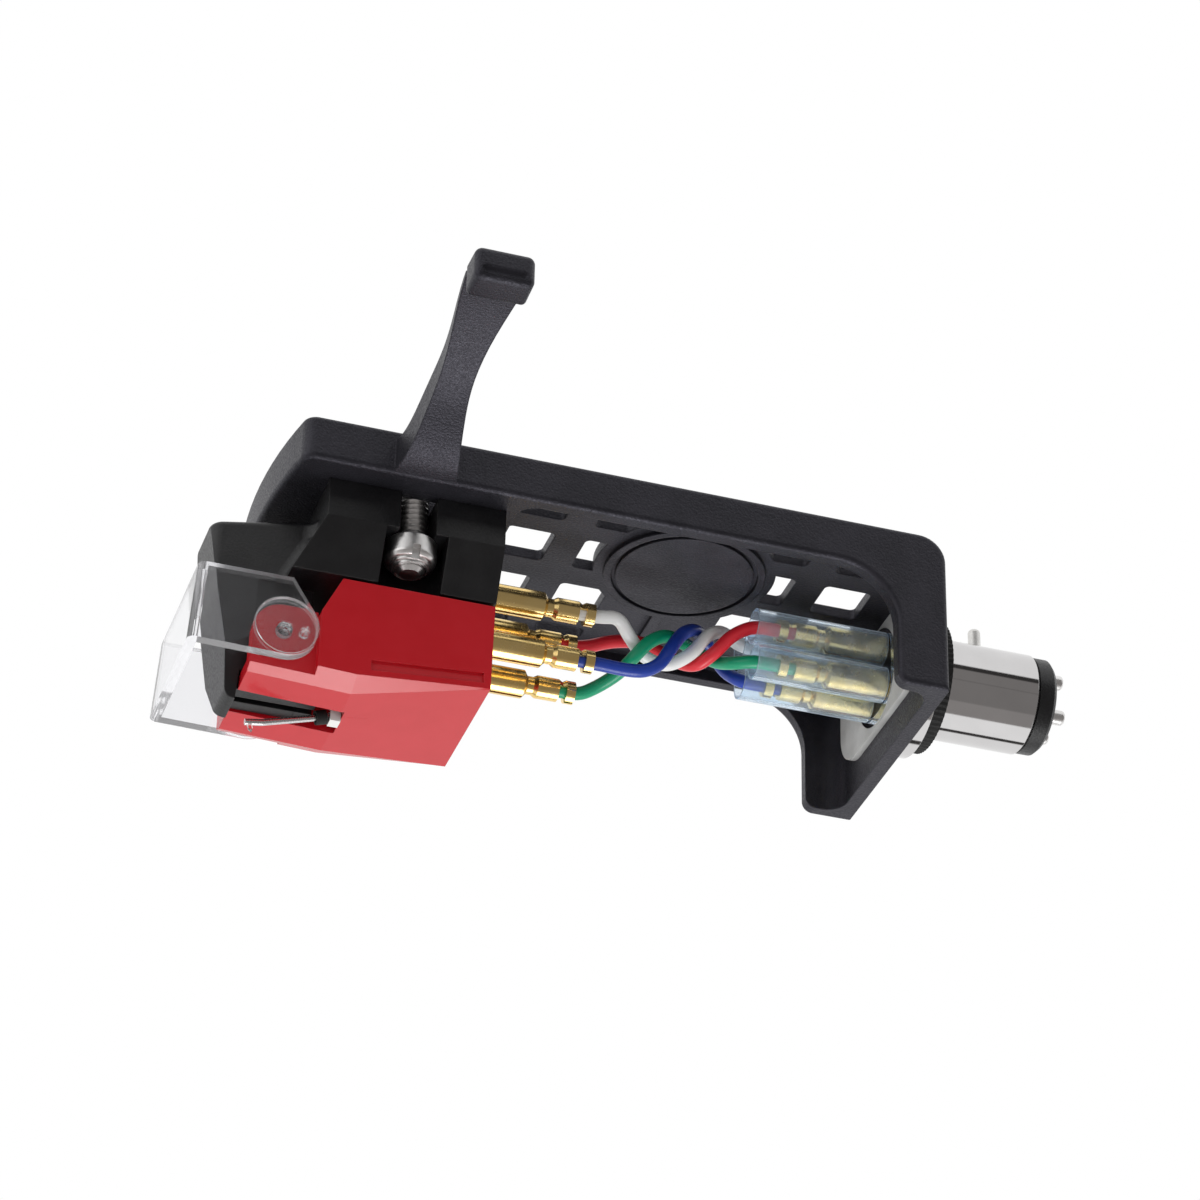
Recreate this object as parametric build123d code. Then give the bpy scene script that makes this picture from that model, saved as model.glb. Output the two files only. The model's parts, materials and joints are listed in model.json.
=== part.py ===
from build123d import *
import math
import os

# Phono cartridge on a bayonet headshell, in millimetres
# X runs along the stem towards its free end, Z is up and the finger lift is on the -Y side
# The origin is on the stem axis, at the gasket face that seats on the tonearm socket

# Clearances
FIT = 0.03
SLIDING = 0.15
RUNNING = 0.1

# Bayonet stem
GASKET_THICKNESS = 1.15
GASKET_DIAMETER = 10.6
GASKET_RIBS = 72
GASKET_RIB_DEPTH = 0.06
COLLAR_LENGTH = 1.55
COLLAR_DIAMETER = 11.7
STEM_DIAMETER = 8.0
STEM_LENGTH = 7.95
STEM_WALL = 0.8
STEM_BEVEL = 0.25
KEY_PIN_DIAMETER = 1.0
KEY_PIN_FROM_SEAT = 4.03
KEY_PIN_PROUD = 2.13
CAP_LENGTH = 1.47
CAP_DIAMETER = 7.7
CAP_EDGE = 0.3

# Contacts that run through the stem
CONTACT_PITCH = 3.2
CONTACT_DIAMETER = 1.2
CONTACT_PROUD = 1.3
CONTACT_INNER_LENGTH = 4.6

# Headshell casting
HEADSHELL_LENGTH = 52.1
HEADSHELL_WIDTH = 21.7
FRONT_BOW = 1.2
MOUNT_Z = 3.1
PAD_THICKNESS = 1.95
PAD_LENGTH = 18.2
WEB_THICKNESS = 0.9
RIM_ABOVE_WEB = 1.75
SIDE_WALL = 1.2
REAR_WALL = 1.2
WING_DROP = 9.97
LEG_DEPTH = 4.1
LEG_TOE_RADIUS = 0.9
ARCH_RADIUS = 4.8
REAR_CORNER_RADIUS = 2.2
POCKET_CORNER_RADIUS = 1.6
FRONT_CORNER_RADIUS = 1.1
CASTING_EDGE_RADIUS = 0.4

# Windows, boss and slots of the headshell web, measured forward from its rear face
WINDOW_LENGTH = 3.8
WINDOW_RADIUS = 0.45
WINDOW_CENTRES = (5.9, 12.1, 25.45, 31.7)
INNER_ROW_OFFSET = 3.2
INNER_ROW_WIDTH = 4.0
OUTER_ROW_OFFSET = 7.85
OUTER_ROW_WIDTH = 1.4
BOSS_FROM_REAR = 18.8
BOSS_OFFSET = 3.3
BOSS_RADIUS = 5.7
BOSS_HEIGHT = 0.4
BOSS_GROOVE_WIDTH = 0.35
BOSS_GROOVE_DEPTH = 0.3
BOSS_RIM = 0.6
BOSS_MARGIN = 1.4
SCREW_SLOT_LENGTH = 11.0
SCREW_SLOT_WIDTH = 2.8
WEB_RIB_FROM_REAR = 18.85
WEB_RIB_OFFSET = 4.5
WEB_RIB_LENGTH = 4.2
WEB_RIB_WIDTH = 0.9

# Bare plate that clamps the stem inside the rear wall
STEM_PLATE_THICKNESS = 0.5
STEM_PLATE_HEIGHT = 8.6
STEM_PLATE_RADIUS = 3.0

# Finger lift, as (offset from the near side face, height above the mounting plane)
LIFT_FROM_REAR = 41.7
LIFT_UNDERSIDE = ((3.2, 1.2), (6.0, 3.0), (9.0, 4.25), (13.0, 5.3), (18.4, 5.9))
LIFT_TOPSIDE = ((1.3, 2.9), (3.6, 4.05), (5.9, 5.2), (8.8, 5.85), (12.7, 6.15), (18.4, 6.5))
LIFT_HALF_WIDTHS = ((3.6, 1.7), (7.4, 1.32), (11.7, 1.6), (14.4, 1.95), (20.2, 2.2))
LIFT_ROOT_HALF_WIDTH = 2.55
LIFT_ROOT_EMBED = 0.6
LIFT_ROOT_LOW = 0.05
LIFT_ROOT_HIGH = 3.0
LIFT_BEAD_NEAR = 17.3
LIFT_BEAD_FAR = 20.1
LIFT_BEAD_LOW = 4.15
LIFT_BEAD_HIGH = 6.85
LIFT_BEAD_RADIUS = 0.9
LIFT_RIDGE_RADIUS = 0.3
LIFT_END_RADIUS = 0.55
LIFT_GROOVE_RADIUS = 0.45
LIFT_GROOVE_DEPTH = 0.28
LIFT_GROOVE_RISE = 0.65
LIFT_GROOVE_INSET = 0.85

# Mounting hardware
SCREW_FROM_REAR = 41.47
SCREW_PITCH = 12.7
SCREW_DIAMETER = 2.5
SCREW_HEAD_DIAMETER = 4.2
SCREW_HEAD_HEIGHT = 1.5
SCREW_SLOT_CUT = 0.6
SCREW_END_DROP = 5.85
SCREW_POINT = 0.5
NUT_DIAMETER = 4.0
NUT_SKIRT = 1.55
NUT_BEVEL = 0.28
NUT_RINGS = 2
NUT_RING_STEP = 0.22
NUT_RING_INSET = 0.2
NUT_NOTCH_WIDTH = 0.6
NUT_NOTCH_DEPTH = 0.55
NUT_NOTCH_HEIGHT = 0.75

# Cartridge body, lengths measured from the screw line
BODY_REAR = 6.75
FLANGE_FRONT = 6.95
FLANGE_WIDTH = 17.0
FLANGE_SIDE = 3.25
FLANGE_TAPER = 3.9
FLANGE_RAKE = 2.0
BASE_WIDTH = 13.2
NOTCH_WIDTH = 4.8
BODY_ROOF = 1.9
NOSE_FRONT = 14.5
NOSE_DROP = 1.7
NOSE_FRONT_WIDTH = 5.2
NOSE_ROOT_WIDTH = 9.8
NOSE_SIDE_TAPER = 7.5
NOSE_EDGE_RADIUS = 1.2
NOSE_TOP_RADIUS = 0.5
NOSE_ROOT_RADIUS = 1.4
PROW_WIDTH = 7.4
PROW_SHOULDER = 11.9
PROW_BOTTOM = 16.15
PROW_KNEE = 7.9
PROW_KNEE_SETBACK = 0.75
PROW_BOTTOM_SETBACK = 2.2
PROW_TIP_WIDTH = 3.0
PROW_TOE_RADIUS = 0.8
KEEL_DROP = 15.3
KEEL_GROOVE = 0.7
KEEL_GROOVE_DEPTH = 0.9
PLUG_FRONT = 4.2
PLUG_REAR = 4.6
PLUG_WIDTH = 9.4
PLUG_DEPTH = 5.75
SHELL_WALL = 0.6

# Terminals at the back of the body
TERMINAL_PITCH_Y = 4.8
TERMINAL_PITCH_Z = 4.2
TERMINAL_DROP = 5.95
TERMINAL_DIAMETER = 1.2
TERMINAL_PLATE_THICKNESS = 1.2
TERMINAL_PLATE_WIDTH = 8.0
TERMINAL_PLATE_HEIGHT = 8.0

# Stylus holder, heights measured down from its top
HOLDER_GAP = 0.25
HOLDER_REAR = 6.7
HOLDER_WIDTH = 13.2
HOLDER_DRAFT = 4.2
HOLDER_REAR_DEPTH = 6.9
HOLDER_CREASE = 3.45
HOLDER_CREASE_DEPTH = 8.4
HOLDER_FRONT_DEPTH = 8.05
HOLDER_CHAMFER_RISE = 0.75
HOLDER_CHAMFER_WIDTH = 1.7
HOLDER_REAR_CHAMFER = 0.06
HOLDER_SHOULDER = 5.05
HOLDER_STEP = 6.45
HOLDER_SLOPE_DEPTH = 2.9
EAR_FRONT = 11.35
EAR_WIDTH = 10.5
EAR_WALL = 1.2
HOLDER_FLOOR = 1.1
SLOT_WIDTH = 3.2
SLOT_REAR = 3.2
GRIP_LENGTH = 8.6
GRIP_HEIGHT = 0.8
GRIP_DEPTH = 0.2
GRIP_LIFT = 0.5
GRIP_INSET = 0.55

# Stylus guard, in its raised position
PIVOT_FROM_SCREW = 9.05
PIVOT_DEPTH = 4.8
GUARD_WALL = 0.85
GUARD_GAP = 0.4
GUARD_ROUND = 2.5
GUARD_TOP_RISE = 4.15
GUARD_CROWN = 0.3
GUARD_FRONT_REACH = 7.05
GUARD_LEAN = 0.2
GUARD_BOTTOM_RISE = 0.15
GUARD_PLATE = 0.8
GUARD_EDGE_RADIUS = 0.6
GUARD_NUB_RADIUS = 0.6
GUARD_NUB_LENGTH = 0.7
GUARD_DISH_RADIUS = 2.35
GUARD_DISH_DEPTH = 0.3
GUARD_BUMP_RADIUS = 0.4
GUARD_BUMP_FROM_PIVOT = 1.5

# Stylus, along an axis that dips towards the front
CANTILEVER_TILT = 16.6
CANTILEVER_DIAMETER = 0.5
CANTILEVER_LENGTH = 6.1
CANTILEVER_BEND = 4.77
CANTILEVER_BEND_ANGLE = 7.6
STYLUS_HEIGHT = 0.6
STYLUS_WIDTH = 0.3
STYLUS_POINT_ANGLE = 21.0
FULCRUM_FROM_SCREW = 4.43
FULCRUM_DEPTH = 8.13
DAMPER_DIAMETER = 1.1
DAMPER_FRONT = 0.62
DAMPER_BACK = 0.2
CARRIER_SIZE = 1.0
CARRIER_THICKNESS = 0.8
CARRIER_LIFT = 0.1
MAGNET_SIZE = 0.42
MAGNET_LENGTH = 1.5
MAGNET_FROM_FULCRUM = 1.85
MAGNET_BORE = 0.8

# Generator inside the body
CORE_OFFSET = 1.7
CORE_FROM_SCREW = 2.1
CORE_DIAMETER = 1.0
CORE_TOP_DROP = 2.4
POLE_REACH = 0.8
POLE_HEIGHT = 0.6
POLE_DEPTH = 6.85
COIL_DIAMETER = 2.9
COIL_TOP_DROP = 3.0
COIL_LENGTH = 8.4
SHIELD_THICKNESS = 0.25
SHIELD_LENGTH = 2.8

# Push-on clips, their sleeves and the leads between them
CLIP_BARREL_LENGTH = 5.0
CLIP_BARREL_RADIUS = 1.12
CLIP_NECK_LENGTH = 0.5
CLIP_NECK_RADIUS = 0.72
CLIP_CRIMP_LENGTH = 2.3
CLIP_CRIMP_RADIUS = 0.9
CLIP_FLARE = 0.3
CLIP_CLAW_LENGTH = 1.0
CLIP_SEAM = 0.22
CLIP_GAP = 0.1
SLEEVE_RADIUS = 1.42
SLEEVE_WALL = 0.2
SLEEVE_OVERHANG = 1.9
LEAD_DIAMETER = 1.05
LEAD_BEND_SHARE = 0.45

# Places worked out from the sizes above
WALL_X = -(GASKET_THICKNESS + COLLAR_LENGTH)
INNER_WALL_X = WALL_X - REAR_WALL
STEM_PLATE_X = INNER_WALL_X - STEM_PLATE_THICKNESS
FRONT_X = WALL_X - HEADSHELL_LENGTH
HALF_WIDTH = HEADSHELL_WIDTH / 2
STEM_PLATE_WIDTH = HEADSHELL_WIDTH - 2 * (SIDE_WALL + POCKET_CORNER_RADIUS + RUNNING)
WEB_TOP = MOUNT_Z + PAD_THICKNESS
WEB_Z = WEB_TOP - WEB_THICKNESS
TOP_Z = WEB_TOP + RIM_ABOVE_WEB
PAD_END_X = FRONT_X + PAD_LENGTH
LEG_X = WALL_X - LEG_DEPTH
WING_Z = MOUNT_Z - WING_DROP
SCREW_X = WALL_X - SCREW_FROM_REAR
STEM_RADIUS = STEM_DIAMETER / 2
BORE_RADIUS = STEM_RADIUS - STEM_WALL
BODY_REAR_X = SCREW_X + BODY_REAR
WAIST_Z = MOUNT_Z - FLANGE_SIDE
BODY_BASE_Z = WAIST_Z - FLANGE_TAPER
HOLDER_TOP = BODY_BASE_Z - HOLDER_GAP
HOLDER_REAR_X = SCREW_X + HOLDER_REAR
STEP_X = SCREW_X - HOLDER_STEP
EAR_X = SCREW_X - EAR_FRONT
GUARD_WIDTH = EAR_WIDTH + 2 * (GUARD_GAP + GUARD_WALL)
PIVOT_X = SCREW_X - PIVOT_FROM_SCREW
PIVOT_Z = HOLDER_TOP - PIVOT_DEPTH
FULCRUM_X = SCREW_X - FULCRUM_FROM_SCREW
FULCRUM_Z = HOLDER_TOP - FULCRUM_DEPTH
SLOT_REAR_X = SCREW_X - SLOT_REAR
TERMINAL_Z = MOUNT_Z - TERMINAL_DROP
CLIP_LENGTH = CLIP_BARREL_LENGTH + CLIP_NECK_LENGTH + CLIP_CRIMP_LENGTH + CLIP_CLAW_LENGTH
LEAD_RADIUS = LEAD_DIAMETER / 2
STYLUS_PLANE = Plane(
    origin=(FULCRUM_X, 0, FULCRUM_Z),
    x_dir=(math.cos(math.radians(CANTILEVER_TILT)), 0, math.sin(math.radians(CANTILEVER_TILT))),
    z_dir=(-math.sin(math.radians(CANTILEVER_TILT)), 0, math.cos(math.radians(CANTILEVER_TILT))),
)

# Free stretch of each lead between its two crimps, chosen by hand
WHITE_ROUTE = [
    (-26.45, -2.3, -0.35), (-25.35, -1.4, -1.2), (-23.65, 0.1, -2.0), (-21.65, 0.3, -2.35),
    (-19.95, -0.6, -1.4), (-18.65, -0.5, 0.7), (-17.05, 0.6, 2.1),
]
RED_ROUTE = [
    (-25.45, 2.5, 0.5), (-23.15, 2.6, 1.0), (-21.35, 2.4, 0.2), (-20.05, 1.9, -0.8),
    (-19.05, 0.7, -1.5), (-18.05, -0.7, -0.9), (-16.95, -1.4, 0.5),
]
GREEN_ROUTE = [
    (-26.65, 1.9, -4.2), (-25.45, 0.5, -3.6), (-24.75, -1.2, -2.9), (-23.85, -1.6, -1.7),
    (-22.45, -1.2, -0.5), (-20.75, 0.0, 0.1), (-18.95, 1.7, 0.5), (-17.45, 1.0, -0.7), (-16.55, -0.6, -1.5),
]
BLUE_ROUTE = [
    (-25.95, -2.5, -5.1), (-24.45, -2.75, -5.1), (-23.25, -2.9, -4.3), (-22.25, -2.8, -2.4),
    (-21.15, -1.9, -0.45), (-19.65, -0.3, 1.15), (-18.15, 1.7, 1.9), (-16.85, 2.9, 1.0), (-16.05, 2.7, -0.3),
]
LEADS = {
    "white": (WHITE_ROUTE, (-1, 1), (1, 1)),
    "red": (RED_ROUTE, (1, 1), (-1, 1)),
    "green": (GREEN_ROUTE, (1, -1), (-1, -1)),
    "blue": (BLUE_ROUTE, (-1, -1), (1, -1)),
}


# Simple solids
def block(x0, x1, y0, y1, z0, z1):
    size = Box(x1 - x0, y1 - y0, z1 - z0)
    return Pos((x0 + x1) / 2, (y0 + y1) / 2, (z0 + z1) / 2) * size


def mid_block(x0, x1, width, z0, z1):
    return block(x0, x1, -width / 2, width / 2, z0, z1)


def side_prism(points, width, radii=None):
    outline = FilletPolyline(*points, radius=radii or [0] * len(points), close=True)
    return extrude(Plane.XZ * make_face(outline), amount=width / 2, both=True)


def end_prism(points, x0, x1):
    face = make_face(Polyline(*points, close=True))
    return extrude(Plane.YZ.offset(x0) * face, amount=x1 - x0)


def plan_prism(points, z0, z1, radii=None):
    outline = FilletPolyline(*points, radius=radii or [0] * len(points), close=True)
    return extrude(Pos(0, 0, z0) * make_face(outline), amount=z1 - z0)


def mirrored_points(half):
    return half + [(-y, z) for y, z in reversed(half)]


def turned(points):
    return revolve(make_face(Polyline(*points, close=True)), axis=Axis.X)


def rod(x0, x1, radius, y=0, z=0):
    return Pos(x0, y, z) * Rot(0, 90, 0) * extrude(Circle(radius), amount=x1 - x0)


def post(x, y, z0, z1, radius):
    return Pos(x, y, z0) * extrude(Circle(radius), amount=z1 - z0)


def cross_pin(x, z, y0, y1, radius):
    return Pos(x, y0, z) * Rot(-90, 0, 0) * extrude(Circle(radius), amount=y1 - y0)


# Headshell
def lift_points(root_height, places):
    root = (-HALF_WIDTH + LIFT_ROOT_EMBED, MOUNT_Z + root_height)
    return [root] + [(-HALF_WIDTH - offset, MOUNT_Z + height) for offset, height in places]


def lift_flank(lift_x, side):
    root = (lift_x + side * LIFT_ROOT_HALF_WIDTH, -HALF_WIDTH + LIFT_ROOT_EMBED)
    return [root] + [(lift_x + side * half, -HALF_WIDTH - offset) for offset, half in LIFT_HALF_WIDTHS]


def ribbon(first, second):
    return make_face([
        Spline(*first),
        Line(first[-1], second[-1]),
        Spline(*reversed(second)),
        Line(second[0], first[0]),
    ])


def finger_lift():
    lift_x = WALL_X - LIFT_FROM_REAR
    reach = 2 * LIFT_ROOT_HALF_WIDTH
    top_z = MOUNT_Z + LIFT_BEAD_HIGH
    side = ribbon(lift_points(LIFT_ROOT_LOW, LIFT_UNDERSIDE), lift_points(LIFT_ROOT_HIGH, LIFT_TOPSIDE))
    blade = extrude(Plane.YZ.offset(lift_x) * side, amount=reach, both=True)
    far_y = -HALF_WIDTH - LIFT_BEAD_FAR
    near_y = -HALF_WIDTH - LIFT_BEAD_NEAR
    low_z = MOUNT_Z + LIFT_BEAD_LOW
    section = FilletPolyline(
        (far_y, low_z), (far_y, top_z), (near_y, top_z), (near_y, low_z),
        radius=[LIFT_RIDGE_RADIUS, LIFT_BEAD_RADIUS, LIFT_BEAD_RADIUS, LIFT_RIDGE_RADIUS], close=True,
    )
    bead = extrude(Plane.YZ.offset(lift_x) * make_face(section), amount=reach, both=True)
    plan = ribbon(lift_flank(lift_x, -1), lift_flank(lift_x, 1))
    plan = fillet(plan.vertices().sort_by(Axis.Y)[:2], LIFT_END_RADIUS)
    return ((blade + bead) & extrude(plan, amount=2 * top_z)) - lift_groove(lift_x, far_y, low_z)


def lift_groove(lift_x, far_y, low_z):
    half = LIFT_HALF_WIDTHS[-1][1] - LIFT_GROOVE_INSET
    y = far_y + LIFT_GROOVE_DEPTH - LIFT_GROOVE_RADIUS
    z = low_z + LIFT_GROOVE_RISE
    groove = rod(lift_x - half, lift_x + half, LIFT_GROOVE_RADIUS, y, z)
    for end in (-half, half):
        groove += Pos(lift_x + end, y, z) * Sphere(LIFT_GROOVE_RADIUS)
    return groove


def windows():
    cut = Part()
    for from_rear in WINDOW_CENTRES:
        x = WALL_X - from_rear
        for side in (-1, 1):
            for offset, width in ((INNER_ROW_OFFSET, INNER_ROW_WIDTH), (OUTER_ROW_OFFSET, OUTER_ROW_WIDTH)):
                pane = RectangleRounded(WINDOW_LENGTH, width, WINDOW_RADIUS)
                cut += Pos(x, side * offset, WEB_Z - WEB_THICKNESS) * extrude(pane, amount=3 * WEB_THICKNESS)
    keep = post(WALL_X - BOSS_FROM_REAR, -BOSS_OFFSET, WING_Z, TOP_Z, BOSS_RADIUS + BOSS_MARGIN)
    return cut - keep


def is_outer_edge(edge):
    along = edge % 0.5
    straight = edge.geom_type == GeomType.LINE
    across = straight and abs(along.Y) > 0.99
    front_corner = straight and abs(along.Z) > 0.99 and edge.center().X < PAD_END_X
    return not across and not front_corner


def web_boss():
    x = WALL_X - BOSS_FROM_REAR
    low = WEB_Z - BOSS_HEIGHT
    boss = post(x, -BOSS_OFFSET, low, WEB_Z, BOSS_RADIUS + BOSS_RIM)
    groove = post(x, -BOSS_OFFSET, low, low + BOSS_GROOVE_DEPTH, BOSS_RADIUS)
    groove -= post(x, -BOSS_OFFSET, low, low + BOSS_GROOVE_DEPTH, BOSS_RADIUS - BOSS_GROOVE_WIDTH)
    return boss - groove


def headshell():
    side = [
        (FRONT_X, MOUNT_Z), (FRONT_X, TOP_Z), (WALL_X, TOP_Z),
        (WALL_X, WING_Z), (LEG_X, WING_Z), (LEG_X, MOUNT_Z),
    ]
    radii = [0, 0, REAR_CORNER_RADIUS, 0, LEG_TOE_RADIUS, ARCH_RADIUS]
    shell = side_prism(side, HEADSHELL_WIDTH, radii)
    shoulder = FRONT_X + FRONT_BOW
    plan = make_face([
        Line((WALL_X, -HALF_WIDTH), (shoulder, -HALF_WIDTH)),
        ThreePointArc((shoulder, -HALF_WIDTH), (FRONT_X, 0), (shoulder, HALF_WIDTH)),
        Line((shoulder, HALF_WIDTH), (WALL_X, HALF_WIDTH)),
        Line((WALL_X, HALF_WIDTH), (WALL_X, -HALF_WIDTH)),
    ])
    shell &= extrude(Pos(0, 0, WING_Z) * plan, amount=TOP_Z - WING_Z)
    shell = fillet(shell.edges().filter_by(Axis.Z).group_by(Axis.X)[0], FRONT_CORNER_RADIUS)
    shell = fillet(shell.edges().filter_by(is_outer_edge), CASTING_EDGE_RADIUS)
    inner = HALF_WIDTH - SIDE_WALL
    corner = [POCKET_CORNER_RADIUS] * 4
    channel = [(PAD_END_X, -inner), (INNER_WALL_X, -inner), (INNER_WALL_X, inner), (PAD_END_X, inner)]
    shell -= plan_prism(channel, WING_Z - SIDE_WALL, WEB_Z, corner)
    tray_front = shoulder + SIDE_WALL
    tray = [(tray_front, -inner), (INNER_WALL_X, -inner), (INNER_WALL_X, inner), (tray_front, inner)]
    shell -= plan_prism(tray, WEB_TOP, TOP_Z + RIM_ABOVE_WEB, corner)
    shell -= windows()
    for side in (-1, 1):
        slot = SlotOverall(SCREW_SLOT_LENGTH, SCREW_SLOT_WIDTH)
        shell -= Pos(SCREW_X, side * SCREW_PITCH / 2, MOUNT_Z) * extrude(slot, amount=PAD_THICKNESS)
    shell -= rod(INNER_WALL_X, WALL_X, STEM_RADIUS + FIT)
    shell += web_boss() - windows()
    rib_x = WALL_X - WEB_RIB_FROM_REAR
    rib_low = WEB_Z - BOSS_HEIGHT
    rib = block(
        rib_x - WEB_RIB_WIDTH / 2, rib_x + WEB_RIB_WIDTH / 2,
        WEB_RIB_OFFSET - WEB_RIB_LENGTH / 2, WEB_RIB_OFFSET + WEB_RIB_LENGTH / 2, rib_low, WEB_Z,
    )
    return shell + rib + finger_lift()


# Bayonet stem
def stem_tube():
    collar = COLLAR_DIAMETER / 2
    gasket_front = -GASKET_THICKNESS
    tube = turned([
        (STEM_PLATE_X, BORE_RADIUS), (STEM_PLATE_X, STEM_RADIUS), (WALL_X, STEM_RADIUS),
        (WALL_X, collar), (gasket_front, collar), (gasket_front, STEM_RADIUS),
        (STEM_LENGTH - STEM_BEVEL, STEM_RADIUS), (STEM_LENGTH, STEM_RADIUS - STEM_BEVEL),
        (STEM_LENGTH, BORE_RADIUS),
    ])
    return tube - post(KEY_PIN_FROM_SEAT, 0, 0, STEM_DIAMETER, KEY_PIN_DIAMETER / 2 + FIT)


def key_pin():
    radius = KEY_PIN_DIAMETER / 2
    tip = STEM_RADIUS + KEY_PIN_PROUD
    pin = post(KEY_PIN_FROM_SEAT, 0, BORE_RADIUS + FIT, tip, radius)
    return fillet(pin.edges().group_by(Axis.Z)[-1], radius * 0.6)


def gasket():
    outer = GASKET_DIAMETER / 2
    points = []
    for index in range(2 * GASKET_RIBS):
        radius = outer - GASKET_RIB_DEPTH * (index % 2)
        angle = math.pi * index / GASKET_RIBS
        points.append((radius * math.cos(angle), radius * math.sin(angle)))
    return end_prism(points, -GASKET_THICKNESS, 0) - rod(-GASKET_THICKNESS, 0, STEM_RADIUS + FIT)


def contact_places():
    half = CONTACT_PITCH / 2
    return {name: (ends[0] * half, ends[1] * half) for name, (_, _, ends) in LEADS.items()}


def contact_insulator():
    cap = CAP_DIAMETER / 2
    cap_end = STEM_LENGTH + CAP_LENGTH
    inner = BORE_RADIUS - FIT
    core = turned([
        (STEM_PLATE_X, 0), (STEM_PLATE_X, inner), (STEM_LENGTH, inner), (STEM_LENGTH, cap),
        (cap_end - CAP_EDGE, cap), (cap_end, cap - CAP_EDGE), (cap_end, 0),
    ])
    for y, z in contact_places().values():
        core -= rod(STEM_PLATE_X, cap_end, CONTACT_DIAMETER / 2 + FIT, y, z)
    return core


def contact_pin(name):
    y, z = contact_places()[name]
    radius = CONTACT_DIAMETER / 2
    tip = STEM_LENGTH + CAP_LENGTH + CONTACT_PROUD
    pin = rod(STEM_PLATE_X - CONTACT_INNER_LENGTH, tip, radius, y, z)
    return fillet(pin.edges().group_by(Axis.X)[-1], radius * 0.5)


def stem_plate():
    outline = RectangleRounded(STEM_PLATE_WIDTH, STEM_PLATE_HEIGHT, STEM_PLATE_RADIUS)
    plate = extrude(Plane.YZ.offset(STEM_PLATE_X) * outline, amount=STEM_PLATE_THICKNESS)
    plate &= mid_block(STEM_PLATE_X, INNER_WALL_X, STEM_PLATE_WIDTH, WING_Z, WEB_Z - FIT)
    return plate - rod(STEM_PLATE_X, INNER_WALL_X, STEM_RADIUS + FIT)


# Clips, sleeves and leads
def clip(pin_radius):
    neck = CLIP_BARREL_LENGTH
    crimp = neck + CLIP_NECK_LENGTH
    claws = crimp + CLIP_CRIMP_LENGTH
    pin_bore = pin_radius + FIT
    lead_bore = LEAD_RADIUS + FIT
    body = turned([
        (0, pin_bore), (0, CLIP_BARREL_RADIUS), (neck - CLIP_FLARE, CLIP_BARREL_RADIUS),
        (neck, CLIP_NECK_RADIUS), (crimp, CLIP_NECK_RADIUS), (crimp + CLIP_FLARE, CLIP_CRIMP_RADIUS),
        (claws - CLIP_FLARE, CLIP_CRIMP_RADIUS), (claws, CLIP_NECK_RADIUS),
        (claws + CLIP_FLARE, CLIP_CRIMP_RADIUS), (CLIP_LENGTH, CLIP_CRIMP_RADIUS),
        (CLIP_LENGTH, lead_bore), (crimp, lead_bore), (crimp, 0), (neck, 0), (neck, pin_bore),
    ])
    seam = mid_block(0, neck, CLIP_SEAM, -CLIP_BARREL_RADIUS, -pin_bore / 2)
    claw_seam = mid_block(claws, CLIP_LENGTH, CLIP_SEAM, -CLIP_BARREL_RADIUS, -lead_bore / 2)
    throat = mid_block(claws - CLIP_FLARE, claws + CLIP_FLARE, CLIP_LENGTH, -CLIP_BARREL_RADIUS, 0)
    return body - seam - claw_seam - throat


def terminal_place(ends):
    return ends[0] * TERMINAL_PITCH_Y / 2, TERMINAL_Z + ends[1] * TERMINAL_PITCH_Z / 2


def cartridge_clip(name):
    y, z = terminal_place(LEADS[name][1])
    return Pos(BODY_REAR_X + CLIP_GAP, y, z) * clip(TERMINAL_DIAMETER / 2)


def headshell_clip(name):
    y, z = contact_places()[name]
    return Pos(STEM_PLATE_X - CLIP_GAP, y, z) * Rot(0, 0, 180) * clip(CONTACT_DIAMETER / 2)


def sleeve(name):
    y, z = contact_places()[name]
    far = STEM_PLATE_X - CLIP_GAP - CLIP_LENGTH - SLEEVE_OVERHANG
    near = STEM_PLATE_X - CLIP_GAP
    return rod(far, near, SLEEVE_RADIUS, y, z) - rod(far, near, SLEEVE_RADIUS - SLEEVE_WALL, y, z)


def lead_points(name):
    route, start, _ = LEADS[name]
    y0, z0 = terminal_place(start)
    y1, z1 = contact_places()[name]
    clip_end = BODY_REAR_X + CLIP_GAP + CLIP_LENGTH
    sleeve_end = STEM_PLATE_X - CLIP_GAP - CLIP_LENGTH
    grip = CLIP_CRIMP_LENGTH + CLIP_CLAW_LENGTH - FIT
    head = [(clip_end - grip, y0, z0), (clip_end + LEAD_RADIUS, y0, z0)]
    tail = [(sleeve_end - SLEEVE_OVERHANG, y1, z1), (sleeve_end + grip, y1, z1)]
    return [Vector(*point) for point in head + route + tail]


def bend_radii(points):
    radii = []
    for before, corner, after in zip(points, points[1:], points[2:]):
        turn = (corner - before).get_angle(after - corner)
        run = min((corner - before).length, (after - corner).length)
        radii.append(LEAD_BEND_SHARE * run / math.tan(math.radians(turn) / 2))
    return radii


def lead(name):
    points = lead_points(name)
    path = FilletPolyline(*points, radius=bend_radii(points))
    section = Plane(origin=path @ 0, z_dir=path % 0) * Circle(LEAD_RADIUS)
    return sweep(section, path=path)


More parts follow.
